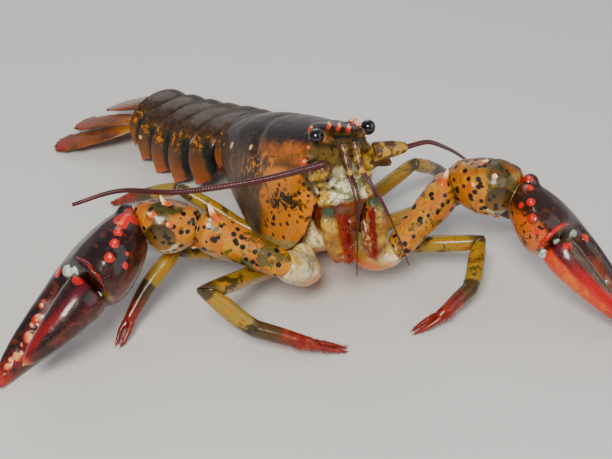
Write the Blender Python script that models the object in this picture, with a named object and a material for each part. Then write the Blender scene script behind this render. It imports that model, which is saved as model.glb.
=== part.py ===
# American lobster, life size, head and claws raised on a flat floor. Metres, +Z up, head towards -Y.
import math

import bmesh
import bpy
from mathutils import Matrix, Vector

MM = 0.001
GAP = 0.3 * MM

# Driving sizes of the animal, in metres. The shell length runs from the eye socket to the back edge.
SHELL_LENGTH = 95 * MM
HEAD_PITCH = math.radians(23.4)
HEAD_ROLL = math.radians(2.3)
SOCKET_HEIGHT = 86.3 * MM
SHELL_WALL = 2.2 * MM
SHELL_CEILING = -27 * MM
STERNUM_HALF = 12.5 * MM

# The shell's outline along its own length: place, top, lower edge and half width, in millimetres.
SHELL_PROFILE = (
    (0, 0.0, -29, 15.5),
    (4, 0.6, -36, 18.0),
    (12, 1.2, -49, 21.5),
    (24, 1.8, -58, 24.6),
    (38, 2.2, -60, 26.4),
    (54, 2.4, -57, 27.4),
    (70, 2.2, -51, 27.2),
    (84, 1.4, -43, 25.6),
    (95, 0.0, -33, 23.2),
)
# The rostrum: place, top, half width and thickness, in millimetres.
ROSTRUM_PROFILE = (
    (12, 1.4, 8.4, 5.0),
    (3, 1.3, 7.8, 5.4),
    (-5, 1.0, 6.4, 5.0),
    (-12, 0.6, 4.8, 4.4),
    (-17, 0.3, 3.3, 3.6),
    (-21.5, 0.2, 1.9, 2.8),
    (-25, 0.8, 0.8, 1.6),
)
# The sternum: place, bottom and half width, in millimetres.
STERNUM_PROFILE = (
    (17, -58, 11.0), (28, -63, 12.5), (42, -63, 12.5), (58, -59, 12.5), (72, -53.5, 12.0), (88, -43, 10.5),
)

# The abdomen's six rings and the telson: length, half width and depth to the pleura's tip, in millimetres.
ABDOMEN = (
    (10.5, 23.4, 25), (15.5, 26.6, 34), (15, 27.2, 36), (14, 26.4, 34.5), (13.5, 24.6, 31), (14, 21.4, 26),
)
ABDOMEN_BELLY = 20 * MM
# How far the pleura sweep back at their tips, and the share of it at each joint of the abdomen.
PLEURA_SWEEP = 10 * MM
SWEEP_SHARES = (0.0, 0.8, 1.0, 1.0, 1.0, 0.8, 0.0)
ABDOMEN_FIRST_TURN = (math.radians(-21.0), math.radians(-1.0))
ABDOMEN_EACH_TURN = (math.radians(-0.4), math.radians(-3.2))
TELSON_LENGTH = 37 * MM
SWIMMERET = (4.6 * MM, 15 * MM, 1.3 * MM)

# Joints of the limbs in the stance frame, in millimetres: the floor is at 0, the sockets above the origin.
CHELIPED_JOINTS = {
    "right": ((-36.2, -23.7, 35.4), (-67.2, 0.6, 49.5), (-90.0, 12.4, 49.0), (-166.3, -14.7, 4.0)),
    "left": ((20.5, -25.5, 28.6), (58.4, -11.1, 45.3), (79.0, -35.0, 49.9), (109.4, -103.1, 3.5)),
}
# Each walking leg from front to back: knee, wrist, pincer root and tip.
LEG_JOINTS = {
    "right": (
        ((-73.5, -25.0, 33.0), (-58.0, -32.5, 14.0), (-36.5, -47.5, 8.5), (-15.5, -52.0, 0.0)),
        ((-73.0, 14.0, 30.0), (-90.0, 8.0, 19.0), (-101.0, 1.5, 9.0), (-111.0, -7.0, 0.0)),
        ((-68.0, 44.0, 27.0), (-83.0, 52.0, 17.0), (-96.0, 58.0, 8.0), (-107.0, 62.0, 0.0)),
        ((-50.0, 72.0, 24.0), (-59.0, 87.0, 15.0), (-68.0, 99.0, 7.0), (-76.0, 108.0, 0.0)),
    ),
    "left": (
        ((65.5, -29.5, 22.0), (52.0, -47.0, 12.0), (30.5, -55.5, 8.5), (15.0, -53.0, 0.0)),
        ((79.0, 6.0, 24.0), (97.0, 0.0, 17.0), (111.0, -3.0, 8.5), (122.0, -7.0, 0.0)),
        ((70.0, 40.0, 27.0), (86.0, 47.0, 17.0), (98.0, 51.0, 8.0), (109.0, 54.0, 0.0)),
        ((53.0, 68.0, 25.0), (65.0, 81.0, 16.0), (75.0, 91.0, 7.0), (83.0, 99.0, 0.0)),
    ),
}
LEG_ROOTS = ((37, -57.5), (49, -55), (60.5, -51.5), (71.5, -47))
LEG_SIZE = (1.0, 0.96, 0.9, 0.86)
FLAGELLA = {
    "right": (
        (-15.0, -17.0, 79.0), (-43.5, -13.2, 76.0), (-74.0, 3.6, 68.0), (-94.8, 24.1, 62.0),
        (-114.9, 32.3, 55.0),
    ),
    "left": (
        (29.0, -14.0, 75.8), (46.0, -6.0, 70.2), (62.7, 4.0, 58.3), (76.8, 12.0, 46.9),
        (95.3, 20.0, 30.0), (108.0, 24.0, 16.0),
    ),
}
ANTENNA_ELBOW = {"right": (-9.6, -17.0), "left": (-10.0, -13.0)}
FLAGELLUM_RADIUS = {"right": (1.8, 1.0), "left": (1.4, 0.6)}
ANTENNULE_TIPS = {
    "right": ((-4.3, -34.0, 26.5), (-4.4, -33.0, 54.0)),
    "left": ((20.7, -38.0, 27.8), (17.1, -36.0, 39.4)),
}

MATERIALS = {
    "shell_brown": ((0.16, 0.075, 0.03, 1), 0.32),
    "shell_orange": ((0.62, 0.25, 0.03, 1), 0.32),
    "claw_brown": ((0.12, 0.035, 0.02, 1), 0.28),
    "claw_red": ((0.42, 0.03, 0.02, 1), 0.28),
    "leg_olive": ((0.34, 0.24, 0.05, 1), 0.38),
    "underside_cream": ((0.62, 0.5, 0.28, 1), 0.45),
    "feeler_red": ((0.22, 0.035, 0.03, 1), 0.4),
    "eye_black": ((0.012, 0.008, 0.01, 1), 0.08),
}


def clear_scene():
    for old in list(bpy.data.objects):
        bpy.data.objects.remove(old)


def material(name):
    found = bpy.data.materials.get(name)
    if found:
        return found
    colour, roughness = MATERIALS[name]
    made = bpy.data.materials.new(name)
    made.use_nodes = True
    shader = made.node_tree.nodes["Principled BSDF"]
    shader.inputs["Base Color"].default_value = colour
    shader.inputs["Roughness"].default_value = roughness
    shader.inputs["Metallic"].default_value = 0.0
    return made


def mm(*values):
    return Vector(values) * MM


def profile_at(profile, place):
    """The values of a profile at a place, read along straight lines between its rows."""
    rows = sorted(profile)
    place = min(max(place, rows[0][0]), rows[-1][0])
    for low, high in zip(rows, rows[1:]):
        if place <= high[0]:
            share = (place - low[0]) / (high[0] - low[0])
            return [a + (b - a) * share for a, b in zip(low[1:], high[1:])]
    return list(rows[-1][1:])


def smooth_path(points, count):
    """A curve through all the points, read at count evenly shared places."""
    ends = [points[0] * 2 - points[1], *points, points[-1] * 2 - points[-2]]
    found = []
    for k in range(count):
        place = k / (count - 1) * (len(points) - 1)
        i = min(int(place), len(points) - 2)
        t = place - i
        a, b, c, d = ends[i : i + 4]
        found.append(
            0.5 * (
                2 * b + (c - a) * t + (2 * a - 5 * b + 4 * c - d) * t * t + (3 * b - a - 3 * c + d) * t**3
            )
        )
    return found


def mesh_of_rings(name, rings):
    """A closed mesh through rings of points. A ring of one point is a tip."""
    bm = bmesh.new()
    rows = [[bm.verts.new(p) for p in ring] for ring in rings]
    for low, high in zip(rows, rows[1:]):
        count = max(len(low), len(high))
        for k in range(count):
            corners = [
                low[k % len(low)], low[(k + 1) % len(low)], high[(k + 1) % len(high)], high[k % len(high)],
            ]
            bm.faces.new(list(dict.fromkeys(corners)))
    for row in (rows[0], rows[-1]):
        if len(row) > 2:
            bm.faces.new(row)
    bmesh.ops.recalc_face_normals(bm, faces=bm.faces)
    mesh = bpy.data.meshes.new(name)
    bm.to_mesh(mesh)
    bm.free()
    return mesh


def add_object(name, mesh, material_name):
    obj = bpy.data.objects.new(name, mesh)
    bpy.context.scene.collection.objects.link(obj)
    mesh.materials.clear()
    mesh.materials.append(material(material_name))
    mesh.shade_smooth()
    mesh.set_sharp_from_angle(angle=math.radians(40))
    return obj


def ellipse(half_a, half_b, sides, centre=(0, 0), power=1.0):
    """Points round an ellipse. A power under 1 makes it squarer."""
    points = []
    for k in range(sides):
        turn = math.tau * k / sides
        c, s = math.cos(turn), math.sin(turn)
        x = math.copysign(abs(c) ** power, c) * half_a
        y = math.copysign(abs(s) ** power, s) * half_b
        points.append((centre[0] + x, centre[1] + y))
    return points


def cross_axes(axis, side):
    """Two unit directions square to the axis. The first lies nearest to side."""
    across = (side - axis * side.dot(axis)).normalized()
    return across, axis.cross(across).normalized()


class Segment:
    """A straight length of limb. Its end faces lie in the planes that it shares with its neighbours."""

    def __init__(self, start, end, side, before=None, after=None):
        self.start, self.end = Vector(start), Vector(end)
        self.length = (self.end - self.start).length
        self.axis = (self.end - self.start).normalized()
        self.across, self.up = cross_axes(self.axis, Vector(side))
        self.first_plane = ((before or self.axis) + self.axis).normalized()
        self.last_plane = ((after or self.axis) + self.axis).normalized()

    def plane(self, share):
        fade = 0.45
        if share < fade:
            return self.first_plane.lerp(self.axis, share / fade).normalized()
        if share > 1 - fade:
            return self.last_plane.lerp(self.axis, (1 - share) / fade).normalized()
        return self.axis

    def point(self, share, across, up):
        """A point on the ring at share, given by its places across and up."""
        normal = self.plane(share)
        centre = self.start + self.axis * (self.length * share)
        if share <= 0:
            centre += self.axis * (GAP / 2 / self.axis.dot(normal))
        if share >= 1:
            centre -= self.axis * (GAP / 2 / self.axis.dot(normal))
        moved = self.across * across + self.up * up
        return centre + moved - self.axis * (moved.dot(normal) / self.axis.dot(normal))

    def rings(self, sections, sides, power=1.0):
        """Sections are (share, half width, half depth, centre across, centre up), in millimetres."""
        made = []
        for share, half_a, half_b, *centre in sections:
            place = centre or (0, 0)
            outline = ellipse(half_a, half_b, sides, place, power)
            made.append([self.point(share, x * MM, y * MM) for x, y in outline])
        return made


def cone(root, tip, radius, sides=6):
    """A closed spine from root to tip, with its root ring square to it."""
    axis = (tip - root).normalized()
    side = Vector((0, 0, 1)) if abs(axis.z) < 0.9 else Vector((1, 0, 0))
    across, up = cross_axes(axis, side)
    length = (tip - root).length
    rings = []
    for share, size in ((0, 1.0), (0.55, 0.72), (0.85, 0.36)):
        ring = ellipse(radius * size, radius * size, sides)
        rings.append([root + axis * (length * share) + across * x + up * y for x, y in ring])
    rings.append([tip])
    return mesh_of_rings("spine", rings)


def knob(centre, radii, sides=8, rows=5):
    """A closed rounded tooth or bulb."""
    rings = [[centre + Vector((0, 0, -radii[2]))]]
    for row in range(1, rows):
        turn = math.pi * row / rows
        ring = ellipse(radii[0] * math.sin(turn), radii[1] * math.sin(turn), sides)
        rings.append([centre + Vector((x, y, -radii[2] * math.cos(turn))) for x, y in ring])
    rings.append([centre + Vector((0, 0, radii[2]))])
    return mesh_of_rings("knob", rings)


def keep_largest(mesh):
    """Drops every closed surface of the mesh but the largest."""
    bm = bmesh.new()
    bm.from_mesh(mesh)
    left, groups = set(bm.verts), []
    while left:
        group, edge = set(), {left.pop()}
        while edge:
            vert = edge.pop()
            group.add(vert)
            edge |= {e.other_vert(vert) for e in vert.link_edges} - group
        left -= group
        groups.append(group)
    keep = max(groups, key=len)
    bmesh.ops.delete(bm, geom=[v for v in bm.verts if v not in keep], context="VERTS")
    bm.to_mesh(mesh)
    bm.free()


def fuse(obj, meshes, solver="EXACT"):
    """Joins closed meshes to the object, all in its own frame, and keeps one closed surface."""
    group = bpy.data.collections.new("to_join")
    bpy.context.scene.collection.children.link(group)
    pieces = []
    for mesh in meshes:
        piece = bpy.data.objects.new("piece", mesh)
        group.objects.link(piece)
        pieces.append(piece)
    join = obj.modifiers.new("join", "BOOLEAN")
    join.operation = "UNION"
    join.operand_type = "COLLECTION"
    join.collection = group
    join.solver = solver
    bpy.context.view_layer.update()
    evaluated = obj.evaluated_get(bpy.context.evaluated_depsgraph_get())
    joined = bpy.data.meshes.new_from_object(evaluated)
    obj.modifiers.remove(join)
    obj.data = joined
    keep_largest(joined)
    joined.shade_smooth()
    joined.set_sharp_from_angle(angle=math.radians(40))
    for piece in pieces:
        bpy.data.objects.remove(piece)
    bpy.data.collections.remove(group)
    return obj


def cut_at_floor(obj):
    """Cuts off what reaches below the floor, which leaves a small flat to stand on."""
    bm = bmesh.new()
    bm.from_mesh(obj.data)
    geometry = [*bm.verts, *bm.edges, *bm.faces]
    cut = bmesh.ops.bisect_plane(
        bm, geom=geometry, plane_co=(0, 0, 0), plane_no=(0, 0, -1), clear_outer=True,
    )
    edges = [e for e in cut["geom_cut"] if isinstance(e, bmesh.types.BMEdge)]
    if edges:
        bmesh.ops.contextual_create(bm, geom=edges)
    bm.to_mesh(obj.data)
    bm.free()


HEAD_MATRIX = (
    Matrix.Translation(
        (0, 0, SOCKET_HEIGHT)
    ) @ Matrix.Rotation(-HEAD_PITCH, 4, "X") @ Matrix.Rotation(HEAD_ROLL, 4, "Y")
)


def from_head(x, y, z):
    """A place in millimetres in the shell's frame, as a place in the stance frame."""
    return HEAD_MATRIX @ mm(x, y, z)


def set_in_stance(obj):
    """Moves a piece made in the shell's frame to its place in the stance."""
    obj.data.transform(HEAD_MATRIX)


GROOVE_DEPTH = 1.2
GROOVE_WIDTH = 2.6
GROOVE_PLACE = 55
SIDE_TURNS = (0, 14, 28, 42, 56, 70, 82, 90)
FLANK_SHARES = (0.35, 0.68, 0.9, 1.0)
FLANK_TUCK = 0.17


def shell_half_ring(place):
    """The right half of the shell's outer outline at a place, from the midline down, in millimetres."""
    top, low, half = profile_at(SHELL_PROFILE, place)
    middle = top - 0.47 * (top - low)
    points = []
    for turn in SIDE_TURNS:
        angle = math.radians(turn)
        groove = GROOVE_PLACE - 24 * (turn / 90) ** 1.6
        sink = GROOVE_DEPTH * math.exp(-(((place - groove) / GROOVE_WIDTH) ** 2))
        reach = 1 - sink / half
        points.append(
            (
                half * math.sin(angle) ** 0.92 * reach,
                middle + (top - middle) * math.cos(angle) ** 0.96 * reach,
            )
        )
    for share in FLANK_SHARES:
        points.append((half * (1 - FLANK_TUCK * share**2), middle + (low - middle) * share))
    return points


def shell_ring(place):
    """The whole outline of the shell at a place: over the back, down the flanks and up inside them."""
    right = shell_half_ring(place)
    wall, ceiling = SHELL_WALL / MM, SHELL_CEILING / MM
    low_x, low_z = right[-1]
    side_x = profile_at(SHELL_PROFILE, place)[2]
    inner = [(low_x - wall, low_z + 0.4), (side_x - wall - 1.2, ceiling)]
    right = right + inner
    left = [(-x, z) for x, z in right[:0:-1]]
    return [mm(x, place, z) for x, z in left + right]


def make_shell():
    """The carapace, an arched shell whose flanks hang free over the leg roots, its rostrum and spines."""
    places = [
        0, 2, 4, 8, 12, 17, 22, 27, 31, 34, 37, 40, 44, 48, 51, 54, 57, 60, 64, 70, 76, 82, 88, 92, 95,
    ]
    shell = add_object(
        "carapace", mesh_of_rings("carapace", [shell_ring(p) for p in places]), "shell_brown",
    )
    rings = []
    for place, top, half, thick in ROSTRUM_PROFILE:
        low = top - thick
        outline = [
            (0, top - 0.5), (half * 0.7, top + 0.3), (half, top - thick * 0.35), (half * 0.55, low),
            (0, low - 0.4),
        ]
        outline += [(-x, z) for x, z in outline[3:0:-1]]
        rings.append([mm(x, place, z) for x, z in outline])
    rings.append([mm(0, ROSTRUM_PROFILE[-1][0] - 1.5, ROSTRUM_PROFILE[-1][1])])
    spines = [mesh_of_rings("rostrum", rings)]
    for side in (-1, 1):
        for place, out, top in ((-3, 5.6, 0.8), (-10, 4.2, 0.4), (-16.5, 2.8, 0.0)):
            root = mm(side * (out - 1.0), place + 1.5, top - 1.4)
            spines.append(cone(root, mm(side * (out + 0.6), place - 3.8, top + 3.4), 1.6 * MM))
        spines.append(cone(mm(side * 10.8, 6, -1.8), mm(side * 11.6, -1.4, 3.2), 1.6 * MM))
        spines.append(cone(mm(side * 16.0, 6, -15), mm(side * 18.6, -4.5, -12.5), 1.9 * MM))
    set_in_stance(fuse(shell, spines))


def make_sternum():
    """The thorax's underside between the flanks, which the limbs grow from."""
    rings = []
    top = SHELL_CEILING / MM - GAP / MM
    for place, low, half in STERNUM_PROFILE:
        outline = [
            (half, top), (half, low + 4), (half * 0.75, low), (-half * 0.75, low), (-half, low + 4),
            (-half, top),
        ]
        rings.append([mm(x, place, z) for x, z in outline])
    set_in_stance(
        add_object("thorax_underside", mesh_of_rings("thorax_underside", rings), "underside_cream")
    )


def make_face():
    """The front of the head below the rostrum: the plate above the mouth, the jaws and the gland knobs."""
    top = SHELL_CEILING / MM - GAP / MM
    rings = []
    for place, low, half in (
        (16.6, -54, 10.5), (10, -52, 11.5), (4, -46, 11.5), (-1, -40, 10.0), (-4.5, -36, 7.5),
    ):
        outline = ellipse(half, (top - low) / 2, 10, (0, (top + low) / 2), 0.7)
        rings.append([mm(x, place, z) for x, z in outline])
    face = add_object("face", mesh_of_rings("face", rings), "underside_cream")
    parts = [knob(mm(side * 8.5, -1.5, -33.5), mm(4.2, 4.2, 3.8)) for side in (-1, 1)]
    parts += [knob(mm(side * 3.4, 2.5, -47.0), mm(4.0, 3.6, 5.0)) for side in (-1, 1)]
    brow = [(6.5, 9.5, -13, 13), (-1, 9.0, -12, 14), (-7, 7.0, -11, 11), (-11, 4.5, -10, 8)]
    rings = []
    for place, half, centre, height in brow:
        outline = ellipse(half, height / 2, 10, (0, centre - 1.5), 0.8)
        rings.append([mm(x, place - 7.2, z - 5.0) for x, z in outline])
    parts.append(mesh_of_rings("brow", rings))
    set_in_stance(fuse(face, parts))


def make_eyes():
    for name, side in (("right", -1), ("left", 1)):
        stalk = Segment(mm(side * 5.4, -6.2, -5.6), mm(side * 10.3, -5.6, -3.6), (0, 0, 1))
        rings = stalk.rings(((0, 1.5, 1.5), (0.4, 2.3, 2.3), (1, 2.6, 2.6)), 8)
        set_in_stance(add_object(f"eyestalk_{name}", mesh_of_rings("eyestalk", rings), "shell_brown"))
        ball = Segment(mm(side * 10.3, -5.6, -3.6), mm(side * 16.4, -5.0, -1.2), (0, 0, 1))
        shares = ((0, 2.6), (0.12, 3.1), (0.35, 3.5), (0.6, 3.4), (0.8, 2.6), (0.94, 1.4))
        rings = ball.rings([(s, r, r) for s, r in shares], 12)
        rings.append([ball.point(0.999, 0, 0)])
        set_in_stance(add_object(f"eye_{name}", mesh_of_rings("eye", rings), "eye_black"))


def tube(path, radii, sides, flat=1.0, side=None):
    """Rings along a path, with a radius at each point. The last radius of 0 is a tip."""
    rings = []
    for k, point in enumerate(path):
        ahead = path[min(k + 1, len(path) - 1)]
        behind = path[max(k - 1, 0)]
        axis = (ahead - behind).normalized()
        across, up = cross_axes(axis, side or Vector((0.21, 0.13, 0.97)))
        if radii[k] <= 0:
            rings.append([point])
            continue
        rings.append([point + across * x + up * y for x, y in ellipse(radii[k], radii[k] * flat, sides)])
    return rings


def make_antennules():
    """The two short forked feelers that hang from under the rostrum."""
    for name, side in (("right", -1), ("left", 1)):
        root, fork = from_head(side * 3.0, -10.0, -7.4), from_head(side * 3.0, -14.6, -22.0)
        body = mesh_of_rings(
            "antennule", tube(smooth_path([root, fork], 4), [2.2 * MM, 2.4 * MM, 2.0 * MM, 1.7 * MM], 8),
        )
        feeler = add_object(f"antennule_{name}", body, "feeler_red")
        strands = []
        for k, tip in enumerate(ANTENNULE_TIPS[name]):
            start = fork + mm((k - 0.5) * side * -1.2, 0, 1.6)
            bow = mm(side * 0.6, -6.0 + k * 0.8, 0)
            middle = start.lerp(mm(*tip), 0.3) + bow
            path = smooth_path([start, middle, mm(*tip)], 9)
            radii = [(0.75 - 0.4 * i / 8) * MM for i in range(8)] + [0]
            strands.append(mesh_of_rings("strand", tube(path, radii, 5)))
        fuse(feeler, strands)


def make_antennae():
    """The long feelers: a jointed root with its scale, and a ringed whip."""
    for name, side in (("right", -1), ("left", 1)):
        whip = [mm(*p) for p in FLAGELLA[name]]
        root = from_head(side * 13.2, -0.6, -19.5)
        elbow = from_head(side * 13.4, *ANTENNA_ELBOW[name])
        reach = (whip[0] - elbow).normalized()
        path = [root, root.lerp(elbow, 0.45), elbow, elbow.lerp(whip[0], 0.55), whip[0] - reach * GAP]
        base = mesh_of_rings("antenna_root", tube(path, [r * MM for r in (4.2, 4.9, 4.6, 3.9, 2.5)], 10))
        made = add_object(f"antenna_root_{name}", base, "shell_orange")
        blade = [
            root + mm(side * 2.2, -1, 3), root + mm(side * 4.6, -8, 5.0), root + mm(side * 4.6, -14.5, 6.6),
        ]
        scale = mesh_of_rings(
            "scale", tube(smooth_path(blade, 5), [r * MM for r in (2.4, 3.4, 3.0, 1.8, 0.0)], 8, 0.4),
        )
        spine = cone(root + mm(side * 3.5, -2, 0), root + mm(side * 7.2, -10.5, 3.0), 1.5 * MM)
        fuse(made, [scale, spine])
        count = 22
        thick, thin = FLAGELLUM_RADIUS[name]
        radii = [(thick + (thin - thick) * (k / (count - 1))) * MM for k in range(count)]
        rings = tube(smooth_path(whip, count), radii, 7)
        rings.append([whip[-1] + (whip[-1] - whip[-2]).normalized() * 1.5 * MM])
        add_object(f"antenna_{name}", mesh_of_rings("antenna", rings), "feeler_red")


def make_maxillipeds():
    """The outer mouth legs: a flat leaf that hangs down and a jointed end folded up inside it."""
    for name, side in (("right", -1), ("left", 1)):
        places = [
            (11.0, -5.5, -35.0), (12.4, -7.6, -40.0), (12.4, -8.6, -47.0), (11.0, -8.2, -54.0),
            (9.2, -7.4, -60.0),
        ]
        leaf = tube(
            [from_head(side * x, y, z) for x, y, z in places],
            [r * MM for r in (2.4, 4.2, 4.8, 4.2, 2.6)], 10, 0.6, Vector((1, 0, 0)),
        )
        made = add_object(f"maxilliped_{name}", mesh_of_rings("maxilliped", leaf), "leg_olive")
        places = [
            (9.0, -7.2, -57.5), (6.8, -8.8, -59.5), (5.0, -9.6, -54.0), (4.6, -9.2, -48.0),
            (4.4, -8.4, -42.5),
        ]
        end = tube(
            [from_head(side * x, y, z) for x, y, z in places],
            [r * MM for r in (2.2, 2.9, 3.2, 2.6, 1.1)], 8,
        )
        fuse(made, [mesh_of_rings("end", end)])


def spine_on(segment, share, turn, reach, length, radius, lean=0.5):
    """A spine set on a segment: its root is sunk in, and lean tips it towards the segment's end."""
    out = segment.across * math.cos(turn) + segment.up * math.sin(turn)
    root = segment.start + segment.axis * (segment.length * share) + out * (reach - 1.6 * radius)
    direction = (out + segment.axis * lean).normalized()
    return cone(root, root + direction * (length + 1.6 * radius), radius)


# The carpus's size against its plain one, and how far its middle rises, in millimetres.
CARPUS_SIZE = {"right": (1.0, 0.0), "left": (1.12, 2.2)}


def make_cheliped_arms(name, side):
    """The arm that carries a claw: its root, merus and carpus. Returns the wrist's two directions."""
    hip, elbow, wrist, tip = [mm(*p) for p in CHELIPED_JOINTS[name]]
    coxa = from_head(side * (STERNUM_HALF / MM + 0.4), 25.0, -57.5)
    bend = from_head(side * 17.0, 12.5, -66.5)
    root_path = smooth_path([coxa, from_head(side * 15.0, 20.0, -64.0), bend, bend.lerp(hip, 0.55)], 6)
    upper_dir, lower_dir, claw_dir = (elbow - hip).normalized(), (
        wrist - elbow
    ).normalized(), (tip - wrist).normalized()
    last = Segment(root_path[-1], hip, (0, 0, 1), after=upper_dir)
    rings = tube(root_path, [r * MM for r in (5.0, 5.8, 6.6, 7.2, 7.8, 7.8)], 12)
    hip_rings = last.rings(((0.5, 7.6, 7.6), (1.0, 6.2, 6.2)), 12)
    rings = rings[:-1] + aligned(rings[-1], hip_rings)
    root = add_object(f"cheliped_{name}_root", mesh_of_rings("root", rings), "underside_cream")
    knobs = [spine_on(last, 0.4, t, 7.2 * MM, 1.8 * MM, 1.4 * MM, 0.2) for t in (2.6, 3.6)]
    fuse(root, knobs)

    merus = Segment(hip, elbow, (0, 0, 1), before=(hip - root_path[-1]).normalized(), after=lower_dir)
    rings = merus.rings(
        (
            (0, 6.0, 6.0), (0.16, 7.2, 6.6), (0.45, 8.2, 7.0), (0.75, 10.0, 8.0), (0.92, 9.8, 8.2),
            (1, 7.6, 6.6),
        ),
        12,
        0.9,
    )
    arm = add_object(f"cheliped_{name}_merus", mesh_of_rings("merus", rings), "shell_orange")
    front = 1.0 if side > 0 else -1.0
    spines = [spine_on(merus, 0.86, 0.1 * front, 9.6 * MM, 8.5 * MM, 2.6 * MM, 0.7)]
    spines.append(spine_on(merus, 0.9, math.pi, 9.4 * MM, 5.5 * MM, 2.2 * MM, 0.7))
    for share, turn, size in (
        (0.32, 1.9, 3.2), (0.48, 1.6, 2.6), (0.62, 1.75, 3.0), (0.74, 1.5, 2.4), (0.4, 2.5, 2.2),
        (0.56, 2.5, 2.4),
    ):
        spines.append(spine_on(merus, share, -turn * front, 7.2 * MM, size * MM, 1.5 * MM, 0.3))
    fuse(arm, spines)

    carpus = Segment(elbow, wrist, (0, 0, 1), before=upper_dir, after=claw_dir)
    size, rise = CARPUS_SIZE[name]
    rings = carpus.rings(
        [(0, 7.0, 6.4)]
        + [
            (share, a * size, b * size, rise, 0)
            for share, a, b in ((0.2, 10.4, 9.4), (0.45, 12.4, 11.0), (0.7, 12.4, 11.2))
        ]
        + [(0.9, 10.6 * size, 10.0 * size, rise * 0.5, 0), (1, 8.6, 8.2)],
        12,
        0.9,
    )
    hand = add_object(f"cheliped_{name}_carpus", mesh_of_rings("carpus", rings), "shell_orange")
    spines = []
    for share, turn, size, thick in (
        (0.5, 0.0, 6.0, 2.2), (0.72, 0.55, 4.6, 1.8), (0.6, -0.7, 4.0, 1.7), (0.72, -2.3, 6.0, 2.2),
        (0.5, -1.5, 3.4, 1.5), (0.66, 3.1, 4.0, 1.8), (0.42, 0.9, 3.2, 1.5),
    ):
        spines.append(spine_on(carpus, share, turn * front, 11.6 * MM, size * MM, thick * MM, 0.5))
    fuse(hand, spines)
    return lower_dir


def aligned(ring, rings):
    """The rings turned so that their first points follow on from the ring before them."""
    centre = sum(ring, Vector()) / len(ring)
    own = sum(rings[0], Vector()) / len(ring)
    count = len(ring)
    flipped = [[r[-k % count] for k in range(count)] for r in rings]
    best = min(
        ((sum(((ring[k] - centre) - (choice[0][(k + s) % count] - own)).length for k in range(count)), i, s)
         for i, choice in enumerate((rings, flipped)) for s in range(count))
    )
    chosen = (rings, flipped)[best[1]]
    return [ring] + [[r[(k + best[2]) % count] for k in range(count)] for r in chosen]


# Each claw: how wide and thick it is at shares of its length. Medial is the finger's side, in millimetres.
PALM = {
    "right": (
        (0.0, -8.0, 8.4, 8.2), (
            0.05, -12.5, 12.0, 11.0,
        ), (0.13, -18.0, 17.0, 13.6), (0.22, -21.5, 20.4, 14.8),
        (
            0.30, -23.2, 21.0, 15.0,
        ), (0.35, -23.8, 19.0, 14.6), (0.385, -23.8, 9.0, 13.8), (0.42, -23.6, 1.0, 13.0),
        (
            0.50, -22.8, -3.0, 11.6,
        ), (0.64, -20.4, -6.0, 9.8), (0.78, -16.8, -6.6, 8.0), (0.89, -12.4, -4.6, 6.0),
        (0.96, -7.8, -1.8, 3.8), (0.99, -4.6, -0.4, 2.0),
    ),
    "left": (
        (0.0, -7.6, 8.0, 7.8), (0.05, -11.0, 11.0, 9.8), (
            0.13, -15.2, 14.8, 11.8,
        ), (0.20, -18.2, 17.4, 12.8),
        (0.26, -19.6, 17.8, 13.0), (
            0.295, -19.9, 16.0, 12.6,
        ), (0.325, -19.9, 7.6, 11.8), (0.355, -19.7, 0.8, 10.8),
        (
            0.50, -18.6, -3.4, 9.6,
        ), (0.64, -16.4, -5.4, 8.0), (0.78, -13.0, -5.2, 6.4), (0.89, -9.2, -3.4, 4.8),
        (0.96, -5.6, -1.2, 3.0), (0.99, -3.2, -0.2, 1.6),
    ),
}
FINGER = {
    "right": (
        (0.0, 7.6, 9.6), (0.16, 9.2, 10.4), (0.4, 8.0, 8.8), (0.62, 6.2, 6.8), (0.82, 4.2, 4.6),
        (0.95, 2.0, 2.3),
    ),
    "left": (
        (0.0, 6.8, 8.2), (0.16, 7.8, 8.8), (0.4, 6.6, 7.4), (0.62, 5.0, 5.8), (0.82, 3.4, 4.0),
        (0.95, 1.7, 2.0),
    ),
}
FINGER_REACH = {"right": 43 * MM, "left": 55 * MM}
FINGER_OPEN = {"right": math.radians(6), "left": math.radians(-2)}
FINGER_HINGE = {"right": (0.345, 9.5), "left": (0.288, 8.2)}
# The way each claw's finger side faces, before it is made square to the claw.
CLAW_MEDIAL = {"right": (0.03, -0.84, 0.53), "left": (-0.807, -0.495, 0.325)}
TEETH = {
    "right": ((0.53, 2.4), (0.60, 3.2), (0.68, 3.8), (0.77, 4.2), (0.86, 2.8), (0.92, 2.0)),
    "left": (
        (0.50, 1.8), (0.56, 2.2), (0.62, 1.9), (0.68, 2.4), (0.74, 1.9), (0.80, 2.2), (0.86, 1.7),
        (0.92, 1.4),
    ),
}


def claw_segment(name, before=None):
    wrist, tip = mm(*CHELIPED_JOINTS[name][2]), mm(*CHELIPED_JOINTS[name][3])
    return Segment(wrist, tip, CLAW_MEDIAL[name], before=before)


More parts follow.
